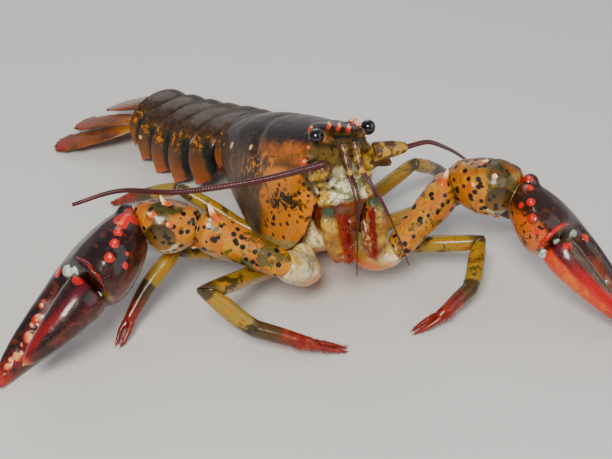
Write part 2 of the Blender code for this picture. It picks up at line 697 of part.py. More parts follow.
def make_claw(name, side, arm_dir):
    """The hand with its fixed finger, its teeth and the knobs along its edge."""
    claw = claw_segment(name, arm_dir)
    sections = [(s, (high - low) / 2, thick, (high + low) / 2, 0) for s, low, high, thick in PALM[name]]
    rings = claw.rings(sections, 14, 0.9)
    rings.append([claw.point(0.9999, -1.4 * MM, 0)])
    palm = add_object(f"claw_{name}", mesh_of_rings("claw", rings), "claw_brown")
    parts = []
    for share, size in TEETH[name]:
        edge = profile_at(PALM[name], share)[1]
        parts.append(
            knob(claw.point(share, (edge + size * 0.1) * MM, 0), mm(size, size * 0.9, size * 0.85), 7, 4)
        )
    for k, (share, up, out) in enumerate(
        ((0.07, 0.62, 0.8), (0.14, 0.5, 0.92), (0.22, 0.42, 0.98), (0.31, 0.36, 1.0))
    ):
        edge, thick = profile_at(PALM[name], share)[1:]
        parts.append(
            knob(
                claw.point(share, edge * out * 0.86 * MM, thick * up * -side * MM), mm(3.0, 3.0, 2.7), 6, 4,
            )
        )
    parts.append(knob(claw.point(0.035, -1.0 * MM, -side * 9.0 * MM), mm(5.0, 5.0, 3.8), 8, 5))
    for share in (0.2, 0.36, 0.52):
        low = profile_at(PALM[name], share)[0]
        parts.append(knob(claw.point(share, (low + 0.8) * MM, 0), mm(2.0, 2.0, 2.0), 6, 4))
    fuse(palm, parts)
    cut_at_floor(palm)


def make_finger(name, side):
    """The movable finger, set a little open, with its own teeth and hinge knobs."""
    claw = claw_segment(name)
    share, across = FINGER_HINGE[name]
    hinge = claw.start + claw.axis * (claw.length * share) + claw.across * (across * MM)
    turn = FINGER_OPEN[name]
    ahead = claw.axis * math.cos(turn) + claw.across * math.sin(turn)
    outward = claw.across * math.cos(turn) - claw.axis * math.sin(turn)
    start = hinge + ahead * 4.2 * MM
    finger = Segment(start, start + ahead * FINGER_REACH[name], outward)
    hook = {0.0: 0.0, 0.16: 0.8, 0.4: 0.8, 0.62: -0.6, 0.82: -2.6, 0.95: -4.4}
    rings = finger.rings([(s, a, b, hook[s], 0) for s, a, b in FINGER[name]], 12, 0.95)
    rings.append([finger.point(0.9995, -5.4 * MM, 0)])
    made = add_object(f"claw_finger_{name}", mesh_of_rings("finger", rings), "claw_red")
    sizes = (3.0, 3.6, 3.2, 2.2) if name == "right" else (1.9, 2.2, 2.0, 1.7)
    parts = []
    for k, size in enumerate(sizes):
        s = 0.28 + 0.16 * k
        half = profile_at([(a, b, hook[a]) for a, b, _ in FINGER[name]], s)
        parts.append(
            knob(
                finger.point(s, (half[1] - half[0] + size * 0.15) * MM, 0),
                mm(size * 0.85, size, size * 0.8), 7, 4,
            )
        )
    thick = FINGER[name][0][2]
    parts.append(knob(finger.point(0.06, 3.0 * MM, -side * (thick - 0.6) * MM), mm(2.6, 2.6, 2.4), 7, 4))
    fuse(made, parts)


def make_legs():
    """Four pairs of walking legs. The first two pairs end in small pincers and the others in a claw."""
    for name, side in (("right", -1), ("left", 1)):
        for k, joints in enumerate(LEG_JOINTS[name]):
            knee, wrist, pincer, tip = [mm(*p) for p in joints]
            place, height = LEG_ROOTS[k]
            size = LEG_SIZE[k]
            root = from_head(side * (STERNUM_HALF / MM + 0.4), place, height)
            flank = profile_at(SHELL_PROFILE, place)[1]
            under = from_head(side * 19.5, place - 2.5 + k, flank - 4.4 * size - 1.6)
            lower = (wrist - knee).normalized()
            path = smooth_path([root, under, under.lerp(knee, 0.45)], 5)
            last = Segment(path[-1], knee, (0, 0, 1), after=lower)
            rings = tube(path, [r * size * MM for r in (4.0, 4.5, 4.4, 4.3, 4.5)], 8)
            rings = rings[:-1] + aligned(
                rings[-1],
                last.rings(
                    [
                        (0.4, 4.6 * size, 4.4 * size), (0.8, 4.4 * size, 4.2 * size),
                        (1, 3.7 * size, 3.6 * size),
                    ],
                    8,
                ),
            )
            add_object(f"leg_{name}_{k + 2}_upper", mesh_of_rings("upper", rings), "leg_olive")
            reach = (pincer - wrist).normalized()
            shin = Segment(knee, wrist, (0, 0, 1), before=(knee - path[-1]).normalized(), after=reach)
            rings = shin.rings(
                [
                    (0, 3.6 * size, 3.5 * size), (0.3, 4.5 * size, 4.2 * size),
                    (0.75, 4.6 * size, 4.3 * size),
                ],
                8,
            )
            hand = Segment(wrist, pincer, (0, 0, 1), before=lower)
            rings += hand.rings(
                [
                    (0.12, 4.2 * size, 4.0 * size), (0.5, 4.3 * size, 3.7 * size),
                    (1, 3.6 * size, 3.0 * size),
                ],
                8,
            )
            point = tip + (tip - pincer).normalized() * 1.2 * MM
            end = Segment(pincer, point, (0, 0, 1))
            if k > 1:
                rings += end.rings(
                    [(0.3, 2.9 * size, 2.5 * size), (0.7, 1.8 * size, 1.6 * size), (0.93, 1.0, 0.9)], 8,
                )
                rings.append([point])
            else:
                rings += end.rings([(0.12, 3.2 * size, 2.8 * size)], 8)
            made = add_object(f"leg_{name}_{k + 2}_lower", mesh_of_rings("lower", rings), "leg_olive")
            if k < 2:
                fuse(made, pincer_fingers(pincer, point, size))
            cut_at_floor(made)


def pincer_fingers(root, tip, size):
    """The two slim fingers of a small pincer."""
    axis = (tip - root).normalized()
    across, _ = cross_axes(axis, Vector((0, 0, 1)))
    fingers = []
    for turn in (-1, 1):
        out = axis.cross(across) * turn
        path = [
            root + out * 1.0 * MM - axis * MM, root.lerp(tip, 0.45) + out * 2.0 * MM, tip + out * 0.9 * MM,
        ]
        radii = [r * size * MM for r in (1.6, 1.7, 1.5, 1.1)] + [0]
        fingers.append(mesh_of_rings("finger", tube(smooth_path(path, 5), radii, 7)))
    return fingers


def abdomen_frames():
    """At each joint of the abdomen: its place on the back, and its directions back, left and up."""
    back = HEAD_MATRIX.to_3x3() @ Vector((0, 1, 0))
    left, up = HEAD_MATRIX.to_3x3() @ Vector((1, 0, 0)), HEAD_MATRIX.to_3x3() @ Vector((0, 0, 1))
    place = HEAD_MATRIX @ Vector((0, SHELL_LENGTH, 0))
    swing, dip = ABDOMEN_FIRST_TURN
    frames = []

    def level(back):
        """The three directions at a joint, with the left one level."""
        aside = Vector((back.y, -back.x, 0)).normalized()
        return back, aside, aside.cross(back)

    for length, _, _ in ABDOMEN:
        cosine, sine = math.cos(swing), math.sin(swing)
        back, left = back * cosine + left * sine, left * cosine - back * sine
        back, up = back * math.cos(dip) - up * math.sin(dip), up * math.cos(dip) + back * math.sin(dip)
        frames.append((place, *level(back)))
        place = place + back * (length * MM)
        swing, dip = ABDOMEN_EACH_TURN
    frames.append((place, *level(back)))
    return frames


def swept(z, share):
    """How far a point z millimetres above a joint's back is swept towards the tail."""
    return PLEURA_SWEEP * share * -z / 36


def abdomen_ring(frame, half, depth, belly, swell=0.0, sweep=0.0):
    """An arch over the back, down to the pleura's tips and up inside to the belly, swept back lower down."""
    place, back, left, up = frame
    half, depth = half + swell, depth
    middle = 0.5 * belly / MM + 4
    points = []
    for turn in (0, 18, 36, 54, 72, 90):
        angle = math.radians(turn)
        points.append((half * math.sin(angle) ** 0.95, -middle + (middle + swell) * math.cos(angle)))
    points.append((half * 0.99, -middle - (depth - middle) * 0.5))
    points.append((half * 0.93, -depth))
    points.append((half * 0.93 - 1.8, -depth + 0.6))
    points.append((half - 3.4, -belly / MM))
    whole = [(-x, z) for x, z in points[:0:-1]] + points
    return [place + left * (x * MM) + up * (z * MM) + back * swept(z, sweep) for x, z in whole]


def blend_frames(a, b, share):
    return tuple(p.lerp(q, share) for p, q in zip(a, b))


def make_abdomen():
    """Six rings with pointed pleura, each with a pair of swimmerets under rings two to five."""
    frames = abdomen_frames()
    shared = [frames[0]]
    for before, after in zip(frames, frames[1:]):
        shared.append((after[0], *((a + b).normalized() for a, b in zip(before[1:], after[1:]))))
    shared[-1] = frames[-1]
    shell_end = HEAD_MATRIX.to_3x3() @ Vector((0, 1, 0))
    turn = HEAD_MATRIX.to_3x3()
    shared[0] = (
        frames[0][0] + shell_end * GAP, shell_end, turn @ Vector((1, 0, 0)), turn @ Vector((0, 0, 1)),
    )
    for k, (length, half, depth) in enumerate(ABDOMEN):
        start, end = shared[k], shared[k + 1]
        rings = []
        tip_rise = 6 if k else 2
        for share, swell, rise in (
            (0, -2.2, tip_rise + 3), (0.2, -0.9, tip_rise * 0.6), (0.5, 0.2, 1.5), (0.78, 0.7, 0),
            (1.0, 0.9, tip_rise + 2),
        ):
            frame = blend_frames(start, end, share)
            shift = GAP / 2 if share == 0 else (-GAP / 2 if share == 1 else 0)
            frame = (frame[0] + frame[1].normalized() * shift, *frame[1:])
            sweep = SWEEP_SHARES[k] + (SWEEP_SHARES[k + 1] - SWEEP_SHARES[k]) * share
            rings.append(abdomen_ring(frame, half, depth - rise, ABDOMEN_BELLY, swell, sweep))
        made = add_object(f"abdomen_{k + 1}", mesh_of_rings("abdomen", rings), "shell_brown")
        if 0 < k < 5:
            fuse(made, swimmerets(blend_frames(start, end, 0.45), half))
        cut_at_floor(made)
    return shared[-1]


def swimmerets(frame, half):
    """A pair of thin paddles that hang from a ring's belly and lean back."""
    place, back, left, up = frame
    wide, reach, thick = SWIMMERET
    paddles = []
    for side in (-1, 1):
        root = place - up * (ABDOMEN_BELLY - 1.5 * MM) + left * (side * half * 0.42 * MM)
        root += back * swept(-ABDOMEN_BELLY / MM, 0.9)
        path = [root, root - up * reach * 0.5 + back * 2 * MM, root - up * reach + back * 5 * MM]
        radii = [wide * 0.45, wide * 0.8, wide, wide * 0.8, 0]
        paddles.append(mesh_of_rings("paddle", tube(smooth_path(path, 5), radii, 8, thick / wide, left)))
    return paddles


# The tail fan's blades: swing from the tail's line in degrees, then the root's place across, reach,
# half width, rise of the root and height of the tip, in millimetres.
BLADES = {
    "uropod_inner_right": (-22, -10.0, 43, 9.5, -12.5, 5.2),
    "uropod_outer_right": (-42, -14.0, 48, 10.5, -17.0, 0.8),
    "uropod_inner_left": (24, 10.0, 41, 9.5, -12.5, 5.2),
    "uropod_outer_left": (46, 14.0, 44, 10.5, -17.0, 0.8),
}
BLADE_THICK = 2.6


def blade_rings(root, tip, across, half, thick):
    """A leaf-shaped plate, thin at its edges and round at its end."""
    rings = []
    for share, wide, deep in (
        (0, 0.34, 1.0), (0.12, 0.55, 1.0), (0.35, 0.85, 0.95), (0.62, 1.0, 0.8), (0.84, 0.92, 0.6),
        (0.96, 0.62, 0.42),
    ):
        axis = (tip - root).normalized()
        flat = (across - axis * across.dot(axis)).normalized()
        up = axis.cross(flat)
        centre = root.lerp(tip, share)
        rings.append([centre + flat * x + up * y for x, y in ellipse(half * wide, thick * deep / 2, 10)])
    rings.append([tip])
    return rings


def make_tail_fan(frame):
    """The telson and two pairs of uropods, spread over the floor."""
    place, back, left, up = frame
    level = Vector((back.x, back.y, 0)).normalized()
    aside = Vector((left.x, left.y, 0)).normalized()
    root = place + back * GAP * 2 - up * 7 * MM
    tip = place + level * TELSON_LENGTH
    tip.z = 9.5 * MM
    rings = blade_rings(root, tip, aside, 11.5 * MM, 4.0 * MM)
    add_object("telson", mesh_of_rings("telson", rings), "shell_orange")
    for name, (swing, across, reach, half, rise, low) in BLADES.items():
        turn = math.radians(swing)
        ahead = level * math.cos(turn) + aside * math.sin(turn)
        sideways = aside * math.cos(turn) - level * math.sin(turn)
        root = place + aside * (across * MM) + up * (rise * MM) + back * (1.8 * MM)
        tip = root + ahead * (reach * MM)
        tip.z = low * MM
        rings = blade_rings(root, tip, sideways, half * MM, BLADE_THICK * MM)
        blade = add_object(name, mesh_of_rings(name, rings), "shell_orange")
        cut_at_floor(blade)


def trim(name, other, gap=0.83 * GAP):
    """Cuts a copy of another piece, swollen by the gap, out of a piece, and keeps the largest part."""
    obj, near = bpy.data.objects[name], bpy.data.objects[other]
    cutter = bpy.data.objects.new("cutter", near.data.copy())
    bpy.context.scene.collection.objects.link(cutter)
    normals = [v.normal.copy() for v in cutter.data.vertices]
    for vert, normal in zip(cutter.data.vertices, normals):
        vert.co += normal * gap
    cut = obj.modifiers.new("cut", "BOOLEAN")
    cut.operation = "DIFFERENCE"
    cut.object = cutter
    cut.solver = "MANIFOLD"
    bpy.context.view_layer.update()
    evaluated = obj.evaluated_get(bpy.context.evaluated_depsgraph_get())
    left = bpy.data.meshes.new_from_object(evaluated)
    obj.modifiers.remove(cut)
    obj.data = left
    keep_largest(left)
    bpy.data.objects.remove(cutter)


def trim_neighbours():
    """Makes room between pieces that meet, so that each stops a gap short of the next."""
    for name in ("right", "left"):
        trim(f"antenna_root_{name}", "carapace")
        trim(f"antenna_root_{name}", "face")
        trim(f"antenna_{name}", f"antenna_root_{name}")
        trim(f"maxilliped_{name}", "face")
        trim(f"cheliped_{name}_root", "thorax_underside")
        trim(f"cheliped_{name}_root", "carapace")
        trim(f"cheliped_{name}_root", f"cheliped_{name}_merus")
        trim(f"cheliped_{name}_carpus", f"cheliped_{name}_merus")
        trim(f"claw_{name}", f"cheliped_{name}_carpus")
        trim(f"claw_finger_{name}", f"claw_{name}")
        for k in range(2, 6):
            trim(f"leg_{name}_{k}_upper", "thorax_underside")
            trim(f"leg_{name}_{k}_upper", "carapace")
        trim(f"uropod_inner_{name}", "telson")
        trim(f"uropod_outer_{name}", f"uropod_inner_{name}")
        for piece in ("inner", "outer"):
            trim(f"uropod_{piece}_{name}", "abdomen_6")
    trim("telson", "abdomen_6")


def centre_on_floor():
    """Moves the whole animal so that the origin is under the middle of its box, on the floor."""
    corners = [v.co for o in bpy.context.scene.objects for v in o.data.vertices]
    middle = [(min(c[i] for c in corners) + max(c[i] for c in corners)) / 2 for i in (0, 1)]
    for obj in bpy.context.scene.objects:
        obj.data.transform(Matrix.Translation((-middle[0], -middle[1], 0)))
    return middle


def main():
    clear_scene()
    make_shell()
    make_sternum()
    make_face()
    make_eyes()
    make_antennules()
    make_antennae()
    make_maxillipeds()
    for name, side in (("right", -1), ("left", 1)):
        arm_dir = make_cheliped_arms(name, side)
        make_claw(name, side, arm_dir)
        make_finger(name, side)
    make_legs()
    make_tail_fan(make_abdomen())
    trim_neighbours()
    return centre_on_floor()


main()
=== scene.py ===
import math

import bpy
import numpy as np
from mathutils import Matrix, Vector


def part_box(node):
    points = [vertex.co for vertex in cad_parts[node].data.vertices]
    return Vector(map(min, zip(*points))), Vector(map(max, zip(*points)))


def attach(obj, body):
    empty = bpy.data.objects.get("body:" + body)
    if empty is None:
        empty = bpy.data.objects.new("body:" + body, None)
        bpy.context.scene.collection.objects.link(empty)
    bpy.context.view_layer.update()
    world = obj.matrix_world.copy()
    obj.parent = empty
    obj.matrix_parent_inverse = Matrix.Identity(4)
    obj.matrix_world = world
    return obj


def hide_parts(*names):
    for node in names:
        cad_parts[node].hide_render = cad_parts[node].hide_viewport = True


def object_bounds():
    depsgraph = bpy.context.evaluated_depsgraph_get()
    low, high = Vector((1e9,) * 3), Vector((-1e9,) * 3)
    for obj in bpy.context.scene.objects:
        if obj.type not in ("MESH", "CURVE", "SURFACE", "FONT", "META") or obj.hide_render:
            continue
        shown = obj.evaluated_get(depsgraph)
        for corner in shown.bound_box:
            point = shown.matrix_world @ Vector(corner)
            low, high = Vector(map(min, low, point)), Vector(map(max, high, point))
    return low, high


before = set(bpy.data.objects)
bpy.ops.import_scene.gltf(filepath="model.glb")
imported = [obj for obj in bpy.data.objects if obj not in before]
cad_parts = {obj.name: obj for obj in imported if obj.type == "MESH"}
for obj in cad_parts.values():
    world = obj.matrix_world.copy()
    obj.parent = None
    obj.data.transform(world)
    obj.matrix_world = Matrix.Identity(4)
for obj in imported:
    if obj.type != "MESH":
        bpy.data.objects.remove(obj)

bl_info = {
    "name": "American Lobster",
    "version": (1, 0, 0),
    "blender": (4, 5, 0),
    "location": "View3D > Sidebar > Lobster",
    "description": "Dresses the solid model of an american lobster with shell, skins, bristles and colours",
    "category": "Add Mesh",
}

CAD_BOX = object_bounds()
MM = 0.001
# How much deeper the shells' colours are than the swatches below, and how they shine.
DEPTH = 1.5
SHINE = 0.32
COAT_ROUGHNESS = 0.1
# The stance's own origin under the eye sockets, seen from the middle of the animal's box, in metres.
STANCE = Vector((0.02197, -0.05309, 0.0))

# The camera, found from the photograph, in the stance's own frame.
EYE_POINT = Vector((-211.8, -381.8, 328.5)) * MM
EYE_RIGHT = Vector((0.89554847, -0.44414946, 0.02691103))
EYE_UP = Vector((0.23152365, 0.51676623, 0.82422658))
EYE_AHEAD = Vector((0.3799865, 0.73190431, -0.56562031))
EYE_LENS = 65.15
SENSOR = 36

# The shell leans back by its pitch and to the side by its roll.
HEAD = (
    Matrix.Translation(STANCE + Vector((0, 0, 86.3 * MM)))
    @ Matrix.Rotation(math.radians(-23.4), 4, "X")
    @ Matrix.Rotation(math.radians(2.3), 4, "Y")
)

# The claws: wrist, tip and the way the finger's side faces. Places are in millimetres in the stance's frame.
CLAWS = {
    "right": ((-90.0, 12.4, 49.0), (-166.3, -14.7, 4.0), (0.03, -0.84, 0.53)),
    "left": ((79.0, -35.0, 49.9), (109.4, -103.1, 3.5), (-0.807, -0.495, 0.325)),
}
# The claw arms: hip, elbow and wrist.
ARMS = {
    "right": ((-36.2, -23.7, 35.4), (-67.2, 0.6, 49.5), (-90.0, 12.4, 49.0)),
    "left": ((20.5, -25.5, 28.6), (58.4, -11.1, 45.3), (79.0, -35.0, 49.9)),
}
# The walking legs from the front pair to the rear: knee, wrist, root of the pincer and tip.
LEGS = {
    "right": (
        ((-73.5, -25.0, 33.0), (-58.0, -32.5, 14.0), (-36.5, -47.5, 8.5), (-15.5, -52.0, 0.0)),
        ((-73.0, 14.0, 30.0), (-90.0, 8.0, 19.0), (-101.0, 1.5, 9.0), (-111.0, -7.0, 0.0)),
        ((-68.0, 44.0, 27.0), (-83.0, 52.0, 17.0), (-96.0, 58.0, 8.0), (-107.0, 62.0, 0.0)),
        ((-50.0, 72.0, 24.0), (-59.0, 87.0, 15.0), (-68.0, 99.0, 7.0), (-76.0, 108.0, 0.0)),
    ),
    "left": (
        ((65.5, -29.5, 22.0), (52.0, -47.0, 12.0), (30.5, -55.5, 8.5), (15.0, -53.0, 0.0)),
        ((79.0, 6.0, 24.0), (97.0, 0.0, 17.0), (111.0, -3.0, 8.5), (122.0, -7.0, 0.0)),
        ((70.0, 40.0, 27.0), (86.0, 47.0, 17.0), (98.0, 51.0, 8.0), (109.0, 54.0, 0.0)),
        ((53.0, 68.0, 25.0), (65.0, 81.0, 16.0), (75.0, 91.0, 7.0), (83.0, 99.0, 0.0)),
    ),
}
LEG_SIZE = (1.0, 0.96, 0.9, 0.86)
# The long feelers: points along each, and its radius at both ends.
WHIPS = {
    "right": (
        (-15.0, -17.0, 79.0), (-43.5, -13.2, 76.0), (-74.0, 3.6, 68.0), (-94.8, 24.1, 62.0),
        (-114.9, 32.3, 55.0),
    ),
    "left": (
        (29.0, -14.0, 75.8), (46.0, -6.0, 70.2), (62.7, 4.0, 58.3), (76.8, 12.0, 46.9),
        (95.3, 20.0, 30.0), (108.0, 24.0, 16.0),
    ),
}
WHIP_RADIUS = {"right": (1.75, 0.95), "left": (1.35, 0.55)}
# The short feelers' two tips on each side.
STRAND_TIPS = {
    "right": ((-4.3, -34.0, 26.5), (-4.4, -33.0, 54.0)),
    "left": ((20.7, -38.0, 27.8), (17.1, -36.0, 39.4)),
}

BLADES = ("telson", "uropod_inner_right", "uropod_outer_right", "uropod_inner_left", "uropod_outer_left")


def at(place):
    """A place in millimetres in the stance's frame, in metres in the model's frame."""
    return Vector(place) * MM + STANCE


def in_head(x, y, z):
    """A place in millimetres in the head's frame, in metres in the model's frame."""
    return HEAD @ (Vector((x, y, z)) * MM)


class LobsterColours(bpy.types.PropertyGroup):
    back: bpy.props.FloatVectorProperty(
        name="Back",
        description="Dark brown of the shell's back",
        default=(0.036, 0.019, 0.010),
        subtype="COLOR",
        size=3,
    )
    tan: bpy.props.FloatVectorProperty(
        name="Tan",
        description="Warm brown between the back and the flanks",
        default=(0.15, 0.070, 0.020),
        subtype="COLOR",
        size=3,
    )
    flank: bpy.props.FloatVectorProperty(
        name="Flank",
        description="Orange yellow of the flanks",
        default=(0.74, 0.34, 0.018),
        subtype="COLOR",
        size=3,
    )
    moss: bpy.props.FloatVectorProperty(
        name="Moss",
        description="Green black of the furrows and patches",
        default=(0.012, 0.020, 0.009),
        subtype="COLOR",
        size=3,
    )
    scarlet: bpy.props.FloatVectorProperty(
        name="Scarlet",
        description="Red of the knobs and spines",
        default=(0.62, 0.020, 0.008),
        subtype="COLOR",
        size=3,
    )
    cream: bpy.props.FloatVectorProperty(
        name="Cream",
        description="Cream of teeth, spots and the limb roots",
        default=(0.82, 0.66, 0.36),
        subtype="COLOR",
        size=3,
    )
    olive: bpy.props.FloatVectorProperty(
        name="Olive",
        description="Olive yellow of the walking legs",
        default=(0.42, 0.33, 0.055),
        subtype="COLOR",
        size=3,
    )
    feeler: bpy.props.FloatVectorProperty(
        name="Feeler",
        description="Dull red of the feelers",
        default=(0.17, 0.028, 0.030),
        subtype="COLOR",
        size=3,
    )
    floor: bpy.props.FloatVectorProperty(
        name="Floor",
        description="Pale colour of the floor",
        default=(0.80, 0.79, 0.77),
        subtype="COLOR",
        size=3,
    )


class LobsterSizes(bpy.types.PropertyGroup):
    grain: bpy.props.FloatProperty(
        name="Grain",
        description="Edge length of the fine surface",
        default=0.6 * MM,
        min=0.2 * MM,
        unit="LENGTH",
    )
    soften: bpy.props.IntProperty(
        name="Soften",
        description="How often the fine surface is softened",
        default=6,
        min=0,
    )
    ring: bpy.props.FloatProperty(
        name="Feeler ring",
        description="Length of one ring of a long feeler",
        default=1.1 * MM,
        unit="LENGTH",
    )
    bristle: bpy.props.FloatProperty(
        name="Bristle",
        description="Thickness of a bristle",
        default=0.14 * MM,
        unit="LENGTH",
    )


def colours():
    return bpy.context.scene.lobster_colours


def sizes():
    return bpy.context.scene.lobster_sizes


class Flow:
    """A socket of a material's nodes. Arithmetic on it adds Math nodes, also as in 1 - mask."""

    def __init__(self, sheet, socket):
        self.sheet, self.socket = sheet, socket

    def maths(self, operation, *others):
        return self.sheet.node(
            "ShaderNodeMath", {"operation": operation}, dict(enumerate((self, *others))),
        )

    def __add__(self, other):
        return self.maths("ADD", other)

    def __sub__(self, other):
        return self.maths("SUBTRACT", other)

    def __rsub__(self, other):
        return self * -1 + other

    def __mul__(self, other):
        return self.maths("MULTIPLY", other)

    __radd__ = __add__
    __rmul__ = __mul__

    def __abs__(self):
        return self.maths("ABSOLUTE")

    def most(self, other):
        return self.maths("MAXIMUM", other)

    def step(self, low, high):
        """0 below low and 1 above high, smooth between. It falls where low is over high."""
        values = {"Value": self, "From Min": low, "From Max": high}
        return self.sheet.node("ShaderNodeMapRange", {"interpolation_type": "SMOOTHSTEP"}, values)


class Sheet:
    """A material being made: its node tree, its coordinates and its shader."""

    def __init__(self, name):
        self.material = bpy.data.materials.new(name)
        self.material.use_nodes = True
        self.tree = self.material.node_tree
        self.shader = self.tree.nodes["Principled BSDF"]
        self.place = self.node("ShaderNodeTexCoord", {}, {}, "Object")
        self.colour = None

    def node(self, kind, settings, values, out=0):
        made = self.tree.nodes.new(kind)
        for key, value in settings.items():
            setattr(made, key, value)
        for key, value in values.items():
            self.feed(made.inputs[key], value)
        return Flow(self, made.outputs[out])

    def feed(self, socket, value):
        if isinstance(value, Flow):
            self.tree.links.new(value.socket, socket)
        elif hasattr(value, "__len__") and len(value) == 3 and socket.type == "RGBA":
            socket.default_value = (*value, 1)
        else:
            socket.default_value = value

    def noise(self, scale, detail=4.0, rough=0.55, warp=0.0, place=None):
        values = {"Scale": scale, "Detail": detail, "Roughness": rough, "Distortion": warp}
        return self.node("ShaderNodeTexNoise", {}, {"Vector": place or self.place, **values}, "Fac")

    def patterns(self, *sorts):
        """One noise around zero for each sort of scale, detail, roughness and warp."""
        return [self.noise(*sort) - 0.5 for sort in sorts]

    def cells(self, scale, jitter=1.0):
        values = {"Vector": self.place, "Scale": scale, "Randomness": jitter}
        return self.node("ShaderNodeTexVoronoi", {}, values, "Distance")

    def vectors(self, operation, first, second, out=0):
        return self.node("ShaderNodeVectorMath", {"operation": operation}, {0: first, 1: second}, out)

    def along(self, origin, axis):
        """How far a place lies along an axis from an origin, in millimetres."""
        moved = self.vectors("SUBTRACT", self.place, tuple(origin))
        return self.vectors("DOT_PRODUCT", moved, tuple(axis / MM), "Value")

    def head_along(self, *axis):
        """How far a place lies along one of the head's own axes, in millimetres."""
        return self.along(HEAD.translation, (HEAD.to_3x3() @ Vector(axis)).normalized())

    def above_floor(self):
        return self.along(STANCE, Vector((0, 0, 1)))

    def near(self, place):
        """How far a point lies from a place given in the stance's frame, in millimetres."""
        return self.vectors("DISTANCE", self.place, tuple(at(place)), "Value") * (1 / MM)

    def mark(self, name):
        """A value that the piece carries on its points."""
        return self.node("ShaderNodeAttribute", {"attribute_name": name}, {}, "Fac")

    def mix(self, share, first, second):
        return self.node("ShaderNodeMix", {"data_type": "RGBA"}, {0: share, 6: first, 7: second}, 2)

    def start(self, share, first, second):
        """The first layer of colour."""
        self.colour = self.mix(share, first, second)

    def lay(self, share, colour):
        """One more layer of colour over those before it."""
        self.colour = self.mix(share, self.colour, colour)

    def finish(self, rough=0.3, height=None, depth=0.0002, coat=0.5):
        """Joins the layers, the gloss and the bumps to the shader."""
        deep = self.node("ShaderNodeGamma", {}, {"Color": self.colour, "Gamma": DEPTH})
        self.feed(self.shader.inputs["Base Color"], deep)
        self.feed(self.shader.inputs["Roughness"], rough)
        self.feed(self.shader.inputs["Coat Weight"], coat)
        self.shader.inputs["Coat Roughness"].default_value = COAT_ROUGHNESS
        self.shader.inputs["Specular IOR Level"].default_value = SHINE
        if height is not None:
            bump = self.node("ShaderNodeBump", {}, {"Strength": 0.8, "Distance": depth, "Height": height})
            self.feed(self.shader.inputs["Normal"], bump)
        return self.material


# In the skins, a colour is a linear red, green and blue triple and a pattern's scale is per metre. The
# distances along an axis and from a place are in millimetres.


def wet_shell(sheet, knobs=True, tip=None, base=None, pits=900, rough=0.24, coat=0.3):
    """The last layers of every shell: red knobs with pale tips, dark furrows, pits and a wet gloss."""
    relief = sheet.mark("relief")
    if knobs:
        rise = sheet.mark("knob")
        stand = relief.step(0.75, 1.3)
        red = sheet.mix(relief.step(2.0, 3.4), colours().scarlet, tip or colours().cream)
        sheet.lay(stand, red)
        red = sheet.mix(rise.step(0.55, 0.95), base or colours().scarlet, tip or colours().cream)
        sheet.lay(rise.step(0.15, 0.4), red)
    sheet.lay(relief.step(-0.12, -0.6) * 0.8, colours().moss)
    grit = sheet.cells(pits).step(0.12, 0.34)
    height = grit * 0.35 + sheet.noise(330, 5, 0.6) * 0.9 + sheet.noise(90, 3) * 1.2
    gloss = sheet.noise(140, 3).step(0.3, 0.75) * 0.2 + rough
    return sheet.finish(gloss, height, 0.0003, coat)


